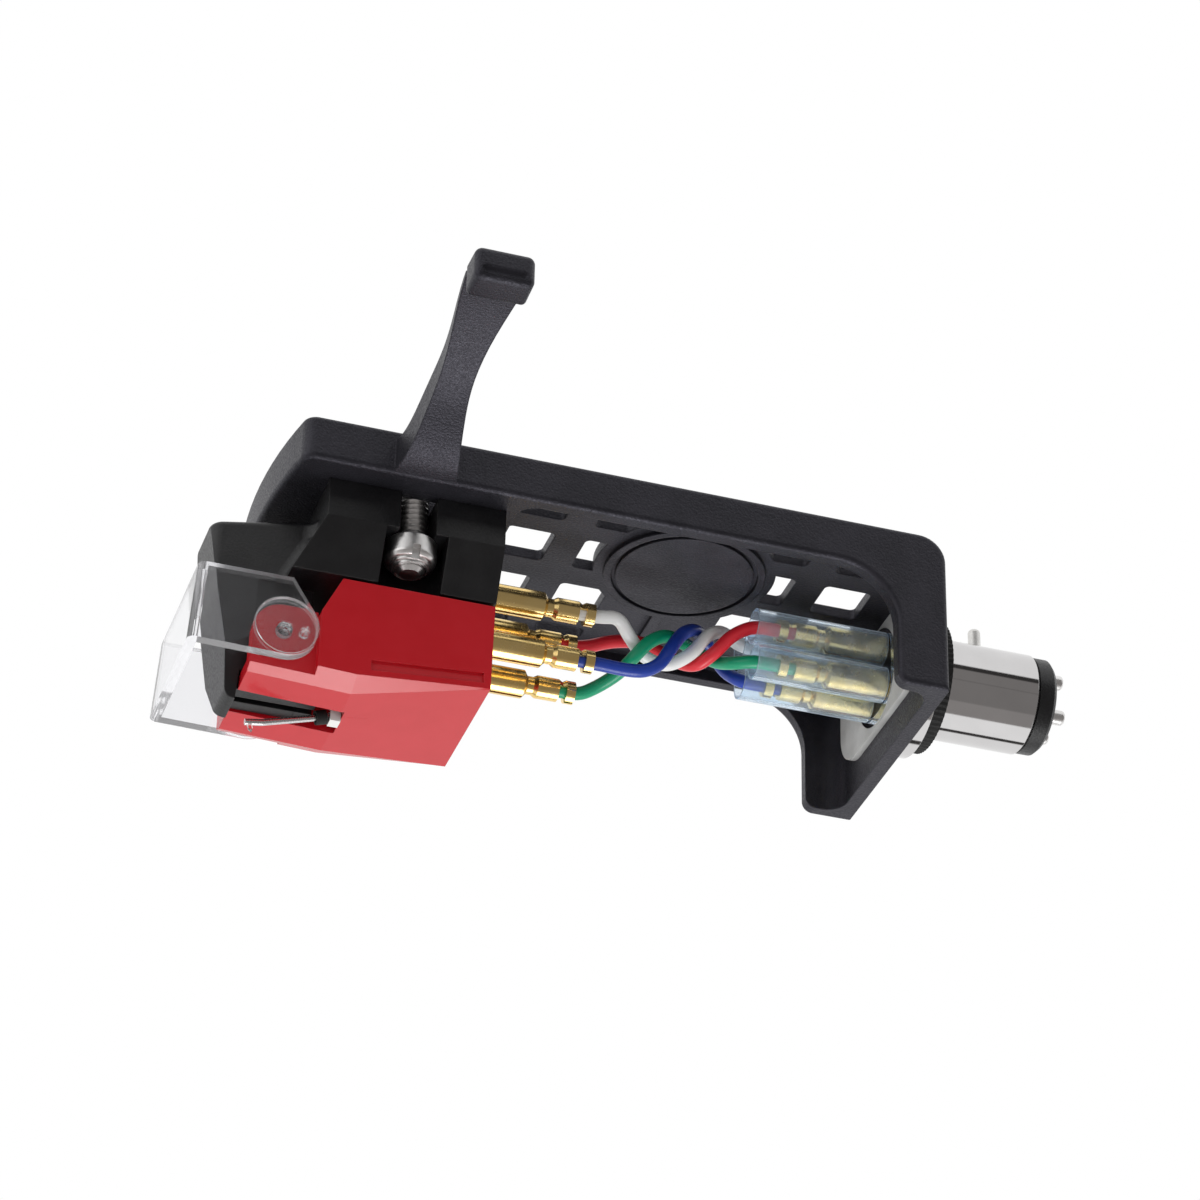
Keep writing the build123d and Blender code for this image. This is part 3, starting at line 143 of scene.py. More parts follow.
# Finishes: two tones, roughness range, grain per metre and its depth in metres, eased edge in millimetres
FINISHES = {
    "black_paint": dict(
        tones=((0.008, 0.008, 0.010), (0.014, 0.0135, 0.017)), rough=(0.34, 0.54), grain=6500.0, depth=4.5e-5,
        strength=1.0, edge=0.20, sheen=(0.86, 0.84, 1.0)),
    "black_plastic": dict(
        tones=((0.005, 0.005, 0.006), (0.009, 0.009, 0.010)), rough=(0.32, 0.46), grain=5200.0, depth=2.2e-5,
        strength=0.8, edge=0.14),
    "red_plastic": dict(
        tones=((0.52, 0.005, 0.012), (0.54, 0.007, 0.015)), rough=(0.24, 0.27), grain=2500.0, depth=2e-7,
        strength=0.2, edge=0.06, ior=1.55),
    "chrome": dict(
        tones=((0.67, 0.66, 0.66), (0.64, 0.63, 0.63)), rough=(0.04, 0.08), grain=3000.0, depth=2e-7,
        metallic=1.0, edge=0.06),
    "satin_steel": dict(
        tones=((0.78, 0.77, 0.75), (0.70, 0.69, 0.67)), rough=(0.30, 0.40), grain=5000.0, depth=1e-6,
        metallic=1.0, edge=0.05),
    "gold_plate": dict(
        tones=((1.0, 0.74, 0.31), (0.95, 0.67, 0.25)), rough=(0.20, 0.28), grain=1500.0, depth=4e-7,
        metallic=1.0),
    "rubber": dict(
        tones=((0.007, 0.007, 0.007), (0.011, 0.011, 0.011)), rough=(0.7, 0.85), grain=7000.0, depth=6e-6),
    "bare_plate": dict(
        tones=((0.64, 0.64, 0.63), (0.52, 0.52, 0.51)), rough=(0.48, 0.68), grain=6500.0, depth=1.2e-5,
        metallic=0.25, edge=0.05),
    "bare_aluminium": dict(
        tones=((0.78, 0.78, 0.78), (0.70, 0.70, 0.70)), rough=(0.2, 0.3), grain=9000.0, depth=1e-6,
        metallic=1.0),
    "white_plastic": dict(
        tones=((0.82, 0.82, 0.80), (0.76, 0.76, 0.74)), rough=(0.4, 0.5), grain=7000.0, depth=3e-6),
    "iron": dict(
        tones=((0.22, 0.22, 0.23), (0.32, 0.32, 0.33)), rough=(0.4, 0.6), grain=6000.0, depth=5e-6,
        metallic=1.0),
    "copper_winding": dict(
        tones=((0.55, 0.22, 0.09), (0.68, 0.30, 0.14)), rough=(0.25, 0.4), grain=6000.0, depth=1e-5,
        metallic=1.0),
    "white_insulation": dict(
        tones=((0.82, 0.82, 0.81), (0.78, 0.78, 0.77)), rough=(0.28, 0.36), grain=2200.0, depth=2e-6),
    "red_insulation": dict(
        tones=((0.66, 0.014, 0.028), (0.70, 0.020, 0.035)), rough=(0.28, 0.36), grain=2200.0, depth=2e-6),
    "green_insulation": dict(
        tones=((0.003, 0.31, 0.15), (0.005, 0.35, 0.17)), rough=(0.28, 0.36), grain=2200.0, depth=2e-6),
    "blue_insulation": dict(
        tones=((0.007, 0.036, 0.30), (0.010, 0.044, 0.35)), rough=(0.28, 0.36), grain=2200.0, depth=2e-6),
}
TONE_SCALE = 400.0

# Nodes with another finish than their slot's
OWN_FINISH = {"key_pin": "satin_steel"}

# Noise in the finishes: the part of its range that is used, and its octaves
NOISE_LOW = 0.35
NOISE_HIGH = 0.65
NOISE_DETAIL = 2.0
FINE_DETAIL = 3.0

# Turned nickel on the screws and nuts
NICKEL_TONES = ((0.84, 0.83, 0.82), (0.76, 0.75, 0.74))
NICKEL_GRAIN = 4000.0
NICKEL_ROUGH = (0.28, 0.36)
NICKEL_RINGS = 52000.0
NICKEL_RING_STRENGTH = 0.16
NICKEL_RING_DEPTH = 3e-6
NICKEL_EDGE = 0.03

# Clear guard: its polished faces by the direction they look in, its edges and its frosted dish
CLEAR_TONE_SCALE = 300.0
GUARD_TONES = ((0.93, 0.93, 0.95), (0.95, 0.95, 0.97))
GUARD_IOR = 1.49
GUARD_CHEEK = (0.80, 0.95)
GUARD_FRONT = (-0.95, -0.80)
GUARD_BACK = (0.93, 0.97)
GUARD_CLEARNESS = (0.78, 0.985)
GUARD_POLISH = (0.12, 0.02)
GUARD_GRAIN = 7000.0
GUARD_SPARKLE = (0.0, 0.6)
DISH_FROST = 0.015
DISH_ROUGH = (0.06, 0.20)
DISH_BUMP_STRENGTH = 0.4
DISH_BUMP_DEPTH = 1.6e-5

# Clear sleeves
SLEEVE_TONES = ((0.80, 0.91, 1.0), (0.88, 0.95, 1.0))
SLEEVE_IOR = 1.46
SLEEVE_CLOUD = 900.0
SLEEVE_CLEARNESS = (0.87, 0.94)
SLEEVE_ROUGH = (0.03, 0.09)
SLEEVE_WAVE = 1400.0
SLEEVE_WAVE_STRENGTH = 0.2
SLEEVE_WAVE_DEPTH = 2e-6
SLEEVE_DEPTH_TINT = (0.45, 0.72, 1.0, 1.0)
SLEEVE_DEPTH_DENSITY = 300.0
SLEEVE_SHEEN = 1.0
SLEEVE_SHEEN_ROUGHNESS = 0.45
SLEEVE_SHEEN_TINT = (0.72, 0.86, 1.0, 1.0)

# Stylus tip: clear, with a pink tint painted in as a reflection of the red holder
TIP_TONES_WITH_PAINTED_PINK_REFLECTION = ((0.95, 0.80, 0.78), (0.96, 0.84, 0.80))
TIP_TONE_SCALE = 3000.0
TIP_IOR = 1.7
TIP_GRAIN = 4000.0
TIP_ROUGH = (0.0, 0.05)


# Node helpers
def material(name):
    made = bpy.data.materials.new(name)
    made.use_nodes = True
    tree = made.node_tree
    return made, tree, tree.nodes["Principled BSDF"]


def add(tree, kind, **settings):
    node = tree.nodes.new(kind)
    for key, value in settings.items():
        setattr(node, key, value)
    return node


def noise(tree, scale, detail=NOISE_DETAIL):
    place = add(tree, "ShaderNodeTexCoord")
    texture = add(tree, "ShaderNodeTexNoise")
    texture.inputs["Scale"].default_value = scale
    texture.inputs["Detail"].default_value = detail
    tree.links.new(place.outputs["Object"], texture.inputs["Vector"])
    return texture.outputs["Fac"]


def spread(tree, value, low, high, start=NOISE_LOW, end=NOISE_HIGH):
    ranged = add(tree, "ShaderNodeMapRange")
    ranged.inputs["From Min"].default_value = start
    ranged.inputs["From Max"].default_value = end
    ranged.inputs["To Min"].default_value = low
    ranged.inputs["To Max"].default_value = high
    tree.links.new(value, ranged.inputs["Value"])
    return ranged.outputs["Result"]


def two_tone(tree, value, first, second):
    ramp = add(tree, "ShaderNodeValToRGB")
    ramp.color_ramp.elements[0].position = NOISE_LOW
    ramp.color_ramp.elements[0].color = (*first, 1.0)
    ramp.color_ramp.elements[1].position = NOISE_HIGH
    ramp.color_ramp.elements[1].color = (*second, 1.0)
    tree.links.new(value, ramp.inputs["Fac"])
    return ramp.outputs["Color"]


def maths(tree, operation, first, second=None):
    node = add(tree, "ShaderNodeMath", operation=operation)
    for socket, value in zip(node.inputs, (first, second)):
        if isinstance(value, float):
            socket.default_value = value
        elif value is not None:
            tree.links.new(value, socket)
    return node.outputs["Value"]


def bump(tree, shader, height, strength, distance, edge=0.0):
    node = add(tree, "ShaderNodeBump")
    node.inputs["Strength"].default_value = strength
    node.inputs["Distance"].default_value = distance
    tree.links.new(height, node.inputs["Height"])
    if edge:
        eased = add(tree, "ShaderNodeBevel")
        eased.inputs["Radius"].default_value = edge * MM
        tree.links.new(eased.outputs["Normal"], node.inputs["Normal"])
    tree.links.new(node.outputs["Normal"], shader.inputs["Normal"])


# Materials
def surface(
    name, tones, rough, grain, depth,
    strength=0.3, metallic=0.0, edge=0.0, ior=1.5, sheen=(1.0, 1.0, 1.0),
):
    made, tree, shader = material(name)
    colour = two_tone(tree, noise(tree, TONE_SCALE), *tones)
    tree.links.new(colour, shader.inputs["Base Color"])
    fine = noise(tree, grain, FINE_DETAIL)
    tree.links.new(spread(tree, fine, *rough), shader.inputs["Roughness"])
    bump(tree, shader, fine, strength, depth, edge)
    shader.inputs["Metallic"].default_value = metallic
    shader.inputs["IOR"].default_value = ior
    shader.inputs["Specular Tint"].default_value = (*sheen, 1.0)
    return made


def axis_distance(tree, x, z):
    place = add(tree, "ShaderNodeTexCoord")
    flat = add(tree, "ShaderNodeMapping")
    flat.inputs["Scale"].default_value = (1.0, 0.0, 1.0)
    flat.inputs["Location"].default_value = (-x * MM, 0.0, -z * MM)
    tree.links.new(place.outputs["Object"], flat.inputs["Vector"])
    length = add(tree, "ShaderNodeVectorMath", operation="LENGTH")
    tree.links.new(flat.outputs["Vector"], length.inputs[0])
    return length.outputs["Value"]


def turned_nickel():
    made, tree, shader = material("nickel")
    colour = two_tone(tree, noise(tree, TONE_SCALE), *NICKEL_TONES)
    tree.links.new(colour, shader.inputs["Base Color"])
    shader.inputs["Metallic"].default_value = 1.0
    place = add(tree, "ShaderNodeTexCoord")
    parts = add(tree, "ShaderNodeSeparateXYZ")
    tree.links.new(place.outputs["Object"], parts.inputs["Vector"])
    along = maths(tree, "SUBTRACT", parts.outputs["X"], SCREW_X * MM)
    side = maths(tree, "ABSOLUTE", parts.outputs["Y"])
    across = maths(tree, "SUBTRACT", side, SCREW_PITCH_Y / 2 * MM)
    squares = maths(
        tree, "ADD", maths(tree, "MULTIPLY", along, along), maths(tree, "MULTIPLY", across, across))
    run = maths(tree, "ADD", maths(tree, "SQRT", squares), parts.outputs["Z"])
    rings = maths(tree, "SINE", maths(tree, "MULTIPLY", run, NICKEL_RINGS))
    tree.links.new(spread(tree, noise(tree, NICKEL_GRAIN), *NICKEL_ROUGH), shader.inputs["Roughness"])
    bump(tree, shader, rings, NICKEL_RING_STRENGTH, NICKEL_RING_DEPTH, NICKEL_EDGE)
    return made


def clear_guard():
    made, tree, shader = material("clear_plastic")
    tree.links.new(two_tone(tree, noise(tree, CLEAR_TONE_SCALE), *GUARD_TONES), shader.inputs["Base Color"])
    shader.inputs["IOR"].default_value = GUARD_IOR
    facing = add(tree, "ShaderNodeSeparateXYZ")
    tree.links.new(add(tree, "ShaderNodeTexCoord").outputs["Normal"], facing.inputs["Vector"])
    cheek = spread(tree, maths(tree, "ABSOLUTE", facing.outputs["Y"]), 0.0, 1.0, *GUARD_CHEEK)
    front = spread(tree, facing.outputs["X"], 1.0, 0.0, *GUARD_FRONT)
    back = spread(tree, facing.outputs["X"], 0.0, 1.0, *GUARD_BACK)
    face = maths(tree, "MAXIMUM", maths(tree, "MAXIMUM", cheek, front), back)
    radius = axis_distance(tree, PIVOT_X, PIVOT_Z)
    dish = spread(tree, radius, 1.0, 0.0, (DISH_RADIUS - DISH_RING) * MM, DISH_RADIUS * MM)
    off_ring = maths(tree, "ABSOLUTE", maths(tree, "SUBTRACT", radius, DISH_RADIUS * MM))
    ring = spread(tree, off_ring, 1.0, 0.0, DISH_RING * MM / 2, DISH_RING * MM)
    smooth = maths(tree, "MINIMUM", face, maths(tree, "SUBTRACT", 1.0, ring))
    fine = noise(tree, GUARD_GRAIN, FINE_DETAIL)
    nub = spread(tree, radius, 1.0, 0.0, NUB_RADIUS * MM / 2, NUB_RADIUS * MM)
    off_bump = axis_distance(tree, BUMP_X, PIVOT_Z)
    stop = spread(tree, off_bump, 1.0, 0.0, BUMP_RADIUS * MM / 2, BUMP_RADIUS * MM)
    sparkle = maths(tree, "MULTIPLY", maths(tree, "MAXIMUM", nub, stop), spread(tree, fine, *GUARD_SPARKLE))
    clearness = spread(tree, smooth, *GUARD_CLEARNESS, 0.0, 1.0)
    frost = maths(tree, "MAXIMUM", sparkle, maths(tree, "MULTIPLY", dish, DISH_FROST))
    tree.links.new(maths(tree, "SUBTRACT", clearness, frost), shader.inputs["Transmission Weight"])
    polish = spread(tree, smooth, *GUARD_POLISH, 0.0, 1.0)
    frosted = maths(tree, "MULTIPLY", dish, spread(tree, fine, *DISH_ROUGH))
    tree.links.new(maths(tree, "MAXIMUM", polish, frosted), shader.inputs["Roughness"])
    bump(tree, shader, maths(tree, "MULTIPLY", fine, dish), DISH_BUMP_STRENGTH, DISH_BUMP_DEPTH)
    return made


def clear_sleeve():
    made, tree, shader = material("clear_sleeve")
    tree.links.new(two_tone(tree, noise(tree, CLEAR_TONE_SCALE), *SLEEVE_TONES), shader.inputs["Base Color"])
    shader.inputs["IOR"].default_value = SLEEVE_IOR
    shader.inputs["Sheen Weight"].default_value = SLEEVE_SHEEN
    shader.inputs["Sheen Roughness"].default_value = SLEEVE_SHEEN_ROUGHNESS
    shader.inputs["Sheen Tint"].default_value = SLEEVE_SHEEN_TINT
    cloudy = noise(tree, SLEEVE_CLOUD)
    tree.links.new(spread(tree, cloudy, *SLEEVE_CLEARNESS), shader.inputs["Transmission Weight"])
    tree.links.new(spread(tree, cloudy, *SLEEVE_ROUGH), shader.inputs["Roughness"])
    bump(tree, shader, noise(tree, SLEEVE_WAVE), SLEEVE_WAVE_STRENGTH, SLEEVE_WAVE_DEPTH)
    depth = add(tree, "ShaderNodeVolumeAbsorption")
    depth.inputs["Color"].default_value = SLEEVE_DEPTH_TINT
    depth.inputs["Density"].default_value = SLEEVE_DEPTH_DENSITY
    tree.links.new(depth.outputs["Volume"], tree.nodes["Material Output"].inputs["Volume"])
    return made


def stylus_tip():
    made, tree, shader = material("stylus_tip")
    # The tip's base colour carries a pink tint painted in as a reflection of the red holder
    tree.links.new(two_tone(tree, noise(tree, TIP_TONE_SCALE), *TIP_TONES_WITH_PAINTED_PINK_REFLECTION), shader.inputs["Base Color"])
    shader.inputs["IOR"].default_value = TIP_IOR
    shader.inputs["Transmission Weight"].default_value = 1.0
    tree.links.new(spread(tree, noise(tree, TIP_GRAIN), *TIP_ROUGH), shader.inputs["Roughness"])
    return made


def materials():
    made = {name: surface(name, **finish) for name, finish in FINISHES.items()}
    made["red_lip"] = surface("red_lip", **{**FINISHES["red_plastic"], "edge": 0.0})
    made["nickel"] = turned_nickel()
    made["clear_plastic"] = clear_guard()
    made["clear_sleeve"] = clear_sleeve()
    made["stylus_tip"] = stylus_tip()
    return made


def dress(frame, made):
    slots = {part["node"]: part["material_slot"] for part in frame["record"]["subparts"]}
    for node, part in frame["nodes"].items():
        part.data.materials.clear()
        part.data.materials.append(made[OWN_FINISH.get(node, slots[node])])
        if slots[node] in ("clear_plastic", "clear_sleeve"):
            part.visible_shadow = False


# Mesh helpers
def linked(name, mesh):
    data = bpy.data.meshes.new(name)
    mesh.to_mesh(data)
    mesh.free()
    made = bpy.data.objects.new(name, data)
    bpy.context.scene.collection.objects.link(made)
    return made


def cut_away(piece, cutter):
    cut = piece.modifiers.new("cut", "BOOLEAN")
    cut.operation = "DIFFERENCE"
    cut.object = cutter
    shaped = bpy.data.meshes.new_from_object(piece.evaluated_get(bpy.context.evaluated_depsgraph_get()))
    piece.modifiers.clear()
    piece.data = shaped
    bpy.data.objects.remove(cutter)


def creased(mesh, finish):
    mesh.shade_smooth()
    mesh.set_sharp_from_angle(angle=math.radians(CREASE))
    mesh.materials.clear()
    mesh.materials.append(finish)


def add_box(mesh, middle, size):
    shape = Matrix.Translation(Vector(middle) * MM) @ Matrix.Diagonal(Vector(size) * MM).to_4x4()
    bmesh.ops.create_cube(mesh, size=1.0, matrix=shape)


def add_ring(mesh, y, height, radii):
    ring = []
    for angle, radius in zip(SCREW_ANGLES, radii):
        place = (SCREW_X + radius * math.cos(angle), y + radius * math.sin(angle), height)
        ring.append(mesh.verts.new(Vector(place) * MM))
    return ring


# Threaded screws in place of the plain ones
def thread_radius(angle, height):
    turn = (height / SCREW_LEAD - angle / math.tau) % 1.0
    ridge = 1.0 - abs(2.0 * turn - 1.0)
    radius = SCREW_ROOT + (SCREW_RADIUS - SCREW_ROOT) * ridge
    return min(radius, SCREW_RADIUS - SCREW_POINT + height - SCREW_LOW)


def screw_rows():
    rows = []
    count = math.ceil((SCREW_SEAT - SCREW_LOW) / SCREW_LEAD * SCREW_ROWS_A_TURN)
    for step in range(count + 1):
        height = SCREW_LOW + (SCREW_SEAT - SCREW_LOW) * step / count
        rows.append((height, None))
    rows.append((SCREW_SEAT, SCREW_HEAD_RADIUS))
    top = SCREW_SEAT + SCREW_HEAD_HEIGHT
    for step in range(SCREW_EDGE_STEPS + 1):
        angle = math.pi / 2 * step / SCREW_EDGE_STEPS
        out = SCREW_HEAD_RADIUS - SCREW_HEAD_EDGE + SCREW_HEAD_EDGE * math.cos(angle)
        rows.append((top - SCREW_HEAD_EDGE + SCREW_HEAD_EDGE * math.sin(angle), out))
    return rows


def add_screw(mesh, y):
    rings = []
    for height, fixed in screw_rows():
        radii = [thread_radius(angle, height) if fixed is None else fixed for angle in SCREW_ANGLES]
        rings.append(add_ring(mesh, y, height, radii))
    for low, high in zip(rings, rings[1:]):
        for side in range(SCREW_SIDES):
            following = (side + 1) % SCREW_SIDES
            mesh.faces.new((low[side], low[following], high[following], high[side]))
    mesh.faces.new(list(reversed(rings[0])))
    mesh.faces.new(rings[-1])


def slot_cutter():
    mesh = bmesh.new()
    head_top = SCREW_SEAT + SCREW_HEAD_HEIGHT
    for y in SCREW_PLACES_Y:
        add_box(mesh, (SCREW_X, y, head_top), (SCREW_SLOT_REACH, SCREW_SLOT, SCREW_HEAD_HEIGHT))
    return linked("slot_cutter", mesh)


def threaded_screws(finish):
    mesh = bmesh.new()
    for y in SCREW_PLACES_Y:
        add_screw(mesh, y)
    screws = linked("threaded_screws", mesh)
    cut_away(screws, slot_cutter())
    creased(screws.data, finish)
    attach(screws, "cartridge_and_headshell")
    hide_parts("mounting_screws")


# Nuts with eased rings in place of the plain ones
def eased_outline(corners, steps):
    points = []
    for index, (radius, height, ease) in enumerate(corners):
        corner = Vector((radius, height))
        if not ease:
            points.append(corner)
            continue
        before = Vector(corners[index - 1][:2]) - corner
        after = Vector(corners[(index + 1) % len(corners)][:2]) - corner
        start = corner + before.normalized() * ease
        end = corner + after.normalized() * ease
        for step in range(steps + 1):
            share = step / steps
            points.append(start.lerp(corner, share).lerp(corner.lerp(end, share), share))
    return points


def add_nut(mesh, y):
    rings = []
    for radius, height in eased_outline(NUT_OUTLINE, NUT_EDGE_STEPS):
        rings.append(add_ring(mesh, y, height, [radius] * SCREW_SIDES))
    for index, ring in enumerate(rings):
        previous = rings[index - 1]
        for side in range(SCREW_SIDES):
            following = (side + 1) % SCREW_SIDES
            mesh.faces.new((previous[side], ring[side], ring[following], previous[following]))


def notch_cutter():
    mesh = bmesh.new()
    skirt = max(radius for radius, _, _ in NUT_OUTLINE)
    size = (NUT_NOTCH_WIDTH, 2 * NUT_NOTCH_DEPTH, 2 * NUT_NOTCH_HEIGHT)
    for y in SCREW_PLACES_Y:
        for side in (-skirt, skirt):
            add_box(mesh, (SCREW_X, y + side, NUT_NOTCH_LOW), size)
    return linked("notch_cutter", mesh)


def turned_nuts(finish):
    mesh = bmesh.new()
    for y in SCREW_PLACES_Y:
        add_nut(mesh, y)
    bmesh.ops.recalc_face_normals(mesh, faces=mesh.faces[:])
    nuts = linked("turned_nuts", mesh)
    cut_away(nuts, notch_cutter())
    creased(nuts.data, finish)
    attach(nuts, "cartridge_and_headshell")
    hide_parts("mounting_nuts")


# Headshell with a rounded bead on its finger lift
def hull(name, balls):
    mesh = bmesh.new()
    for centre, radius in balls:
        for row in range(BALL_ROWS + 1):
            rise = math.pi * row / BALL_ROWS
            for side in range(BALL_SIDES):
                angle = math.tau * side / BALL_SIDES
                way = (math.sin(rise) * math.cos(angle), math.sin(rise) * math.sin(angle), math.cos(rise))
                mesh.verts.new(Vector(centre) + Vector(way) * radius)
    bmesh.ops.remove_doubles(mesh, verts=mesh.verts[:], dist=CLOSE / MM)
    skin = bmesh.ops.convex_hull(mesh, input=mesh.verts[:])
    left_over = skin["geom_interior"] + skin["geom_unused"]
    spare = {item for item in left_over if isinstance(item, bmesh.types.BMVert)}
    bmesh.ops.delete(mesh, geom=list(spare), context="VERTS")
    bmesh.ops.recalc_face_normals(mesh, faces=mesh.faces[:])
    bmesh.ops.scale(mesh, vec=(MM, MM, MM), verts=mesh.verts[:])
    return linked(name, mesh)


def rounded_bead():
    balls = []
    for side in (-1, 1):
        for y, half, ease in (
            (BEAD_FAR + BEAD_FAR_ROUND, BEAD_FAR_HALF, BEAD_FAR_ROUND),
            (BEAD_NEAR - BEAD_NEAR_ROUND, BEAD_NEAR_HALF, BEAD_NEAR_ROUND),
        ):
            for z in (BEAD_LOW + ease, BEAD_HIGH - ease):
                balls.append(((BEAD_X + side * (half - ease), y, z), ease))
    bead = hull("bead", balls)
    ends = [((BEAD_X + side * GROOVE_HALF, GROOVE_Y, GROOVE_Z), GROOVE_RADIUS) for side in (-1, 1)]
    cut_away(bead, hull("groove", ends))
    return bead


def cast_headshell(node, finish):
    mesh = bmesh.new()
    mesh.from_mesh(node.data)
    geometry = mesh.verts[:] + mesh.edges[:] + mesh.faces[:]
    bmesh.ops.bisect_plane(
        mesh, geom=geometry, dist=CLOSE, plane_co=(0.0, BEAD_CUT * MM, 0.0), plane_no=(0.0, -1.0, 0.0),
        clear_outer=True)
    rim = [edge for edge in mesh.edges if all(abs(v.co.y - BEAD_CUT * MM) < CLOSE for v in edge.verts)]
    grown = bmesh.ops.extrude_edge_only(mesh, edges=rim)["geom"]
    for vert in grown:
        if isinstance(vert, bmesh.types.BMVert):
            vert.co.y -= BEAD_ROOT * MM
            vert.co.x = BEAD_X * MM + (vert.co.x - BEAD_X * MM) * BEAD_ROOT_NARROWING
    bead = rounded_bead()
    creased(bead.data, finish)
    mesh.from_mesh(bead.data)
    bpy.data.objects.remove(bead)
    shell = linked("cast_headshell", mesh)
    shell.data.materials.append(finish)
    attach(shell, "cartridge_and_headshell")
    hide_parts("headshell")


# Forms under the holder
def prism(name, outline, low, high, along):
    mesh = bmesh.new()
    rows = []
    for level in (low, high):
        rows.append([mesh.verts.new(Vector(along(level, *point)) * MM) for point in outline])
    for index in range(len(outline)):
        following = (index + 1) % len(outline)
        mesh.faces.new((rows[0][index], rows[0][following], rows[1][following], rows[1][index]))
    mesh.faces.new(rows[0])
    mesh.faces.new(list(reversed(rows[1])))
    bmesh.ops.recalc_face_normals(mesh, faces=mesh.faces[:])
    return linked(name, mesh)


def keel_tail(finish):
    half = KEEL_WIDTH / 2
    groove = KEEL_GROOVE / 2
    roof = KEEL_LOW + KEEL_GROOVE_DEPTH
    outline = [
        (-half, KEEL_TOP), (-half, KEEL_LOW + KEEL_EDGE), (-half + KEEL_EDGE, KEEL_LOW), (-groove, KEEL_LOW),
        (-groove, roof), (groove, roof), (groove, KEEL_LOW), (half - KEEL_EDGE, KEEL_LOW),
        (half, KEEL_LOW + KEEL_EDGE), (half, KEEL_TOP),
    ]
    tail = prism("keel_tail", outline, KEEL_FRONT, KEEL_BACK, lambda x, y, z: (x, y, z))
    tail.data.materials.append(finish)
    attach(tail, "cartridge_and_headshell")


def bore_lip(finish):
    upper = [(x, z + LIP_THICKNESS) for x, z in (LIP_BACK, LIP_FRONT)]
    outline = [LIP_FRONT, LIP_BACK, *upper]
    lip = prism("bore_lip", outline, -LIP_WIDTH / 2, LIP_WIDTH / 2, lambda y, x, z: (x, y, z))
    lip.data.materials.append(finish)
    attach(lip, "stylus_holder")


# Stage, light and camera
def stage_floor():
    mesh = bpy.data.meshes.new("floor")
    half = FLOOR_SIZE / 2
    corners = [(-half, -half, FLOOR_Z), (half, -half, FLOOR_Z), (half, half, FLOOR_Z), (-half, half, FLOOR_Z)]
    mesh.from_pydata(corners, [], [(0, 1, 2, 3)])
    floor = bpy.data.objects.new("floor", mesh)
    bpy.context.scene.collection.objects.link(floor)
    made, _, shader = material("floor")
    shader.inputs["Base Color"].default_value = FLOOR_COLOUR
    shader.inputs["Roughness"].default_value = FLOOR_ROUGHNESS
    mesh.materials.append(made)
    floor.visible_glossy = False


def mixed(tree, factor, first, second):
    mix = add(tree, "ShaderNodeMix", data_type="RGBA")
    colours = [socket for socket in mix.inputs if socket.type == "RGBA"]
    for socket, value in zip(colours, (first, second)):
        if isinstance(value, tuple):
            socket.default_value = value
        else:
            tree.links.new(value, socket)
    tree.links.new(factor, mix.inputs["Factor"])
    return [socket for socket in mix.outputs if socket.type == "RGBA"][0]


def wall_stops():
    stops = []
    for angle, level in WALLS:
        tint = WALL_TINT if level < WALL_TINT_BELOW else WHITE
        place = (angle / FULL_TURN + 0.5) % 1.0
        stops.append((place, (level * tint[0], level * tint[1], level * tint[2], 1.0)))
    return sorted(stops)


def room():
    world = bpy.data.worlds.new("studio")
    bpy.context.scene.world = world
    world.use_nodes = True
    tree = world.node_tree
    way = add(tree, "ShaderNodeSeparateXYZ")
    tree.links.new(add(tree, "ShaderNodeTexCoord").outputs["Generated"], way.inputs["Vector"])
    angle = maths(tree, "ARCTAN2", way.outputs["Z"], way.outputs["Y"])
    ramp = add(tree, "ShaderNodeValToRGB")
    stops = wall_stops()
    for place, _ in stops[2:]:
        ramp.color_ramp.elements.new(place)
    for element, (place, _) in zip(ramp.color_ramp.elements, stops):
        element.position = place
    for element, (_, colour) in zip(ramp.color_ramp.elements, stops):
        element.color = colour
    tree.links.new(spread(tree, angle, 0.0, 1.0, -math.pi, math.pi), ramp.inputs["Fac"])
    rays = add(tree, "ShaderNodeLightPath")
    behind = spread(tree, way.outputs["Y"], 0.0, 1.0, *BACKDROP_EDGE)
    through = maths(tree, "MULTIPLY", rays.outputs["Is Transmission Ray"], behind)
    seen = maths(tree, "MAXIMUM", rays.outputs["Is Camera Ray"], through)
    shown = mixed(tree, seen, ramp.outputs["Color"], WHITE)
    tree.links.new(shown, tree.nodes["Background"].inputs["Color"])


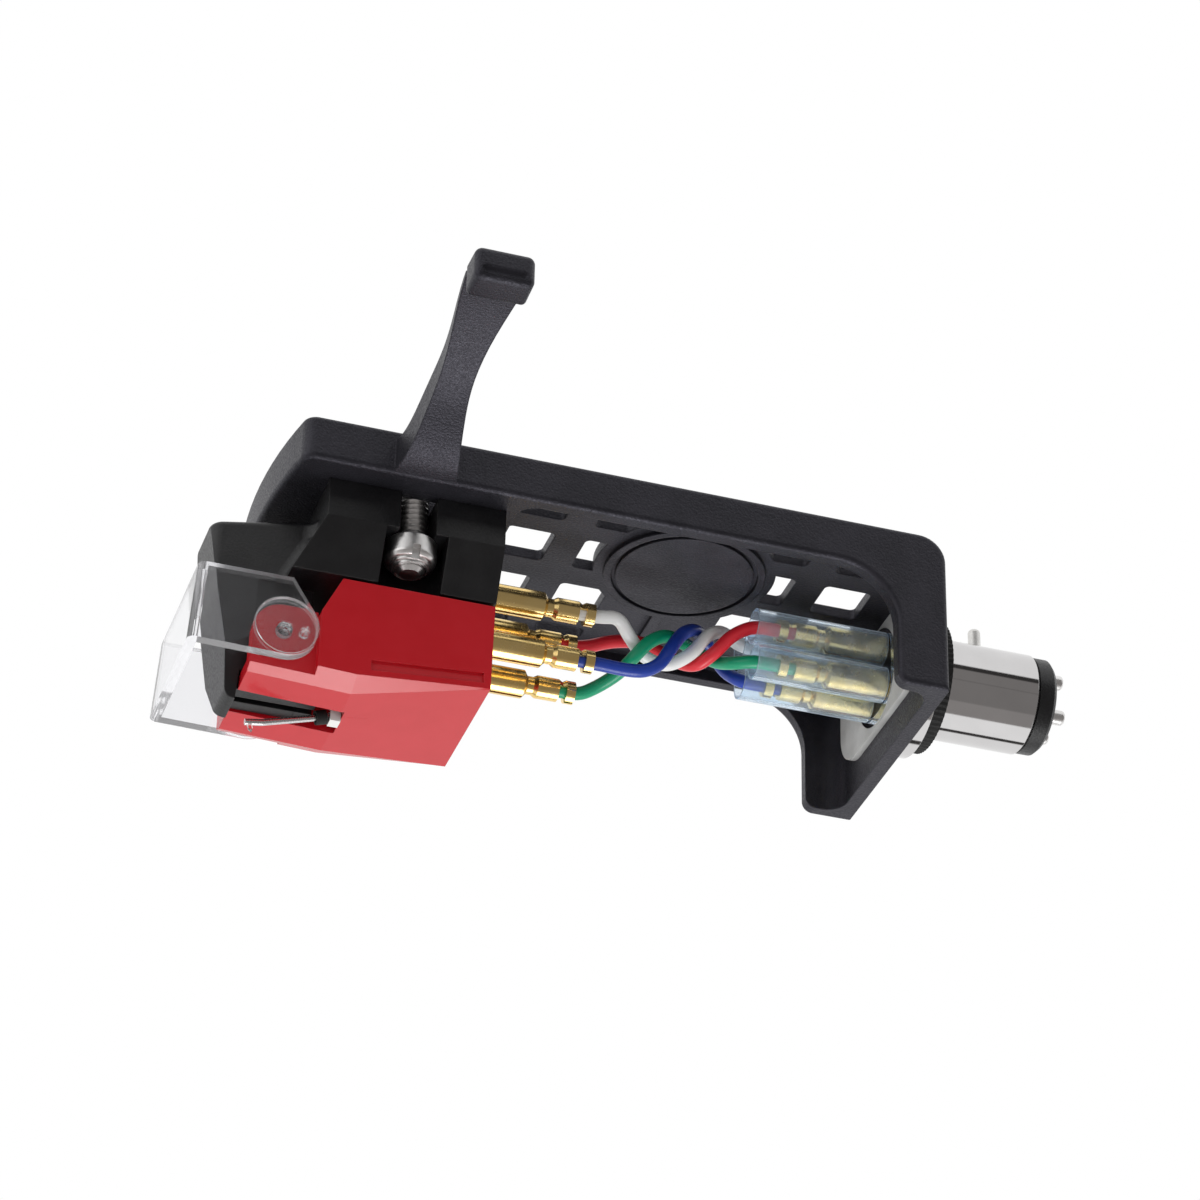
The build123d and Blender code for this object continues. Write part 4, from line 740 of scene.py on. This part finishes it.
def aimed(place, target):
    back = (place - target).normalized()
    side = Vector((1.0, 0.0, 0.0))
    side = (side - side.dot(back) * back).normalized()
    turn = Matrix((side, back.cross(side), back)).transposed()
    return Matrix.Translation(place) @ turn.to_4x4()


def lamps():
    for name, place, target, along, across, radiance in LAMPS:
        data = bpy.data.lights.new(name, "AREA")
        data.shape = "RECTANGLE"
        data.size = along
        data.size_y = across
        data.energy = radiance * math.pi * along * across
        lamp = bpy.data.objects.new(name, data)
        bpy.context.scene.collection.objects.link(lamp)
        lamp.matrix_world = aimed(Vector(place), Vector(target))
        lamp.visible_camera = False
        lamp.visible_transmission = False


def camera():
    turn = Vector(CAMERA_TURN)
    view = Quaternion(turn.normalized(), turn.length).to_matrix()
    axes = Matrix((view[0], -view[1], -view[2])).transposed()
    data = bpy.data.cameras.new("camera")
    data.lens = CAMERA_LENS
    data.sensor_width = CAMERA_SENSOR
    data.clip_start = CAMERA_NEAR
    data.clip_end = CAMERA_FAR
    eye = bpy.data.objects.new("camera", data)
    bpy.context.scene.collection.objects.link(eye)
    eye.matrix_world = Matrix.Translation(CAMERA_PLACE) @ axes.to_4x4()
    bpy.context.scene.camera = eye


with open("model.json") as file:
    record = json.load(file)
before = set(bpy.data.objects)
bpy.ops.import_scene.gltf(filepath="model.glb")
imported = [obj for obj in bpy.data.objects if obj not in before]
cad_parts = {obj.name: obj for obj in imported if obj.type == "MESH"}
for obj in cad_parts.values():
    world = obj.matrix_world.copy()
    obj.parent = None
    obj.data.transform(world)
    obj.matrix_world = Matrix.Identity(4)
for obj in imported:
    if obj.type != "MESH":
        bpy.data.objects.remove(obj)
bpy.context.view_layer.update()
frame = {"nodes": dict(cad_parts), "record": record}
bpy.context.scene.view_settings.view_transform = "Standard"
camera()
stage_floor()
room()
lamps()
finishes = materials()
dress(frame, finishes)
threaded_screws(finishes["nickel"])
turned_nuts(finishes["nickel"])
cast_headshell(frame["nodes"]["headshell"], finishes["black_paint"])
keel_tail(finishes["black_plastic"])
bore_lip(finishes["red_lip"])
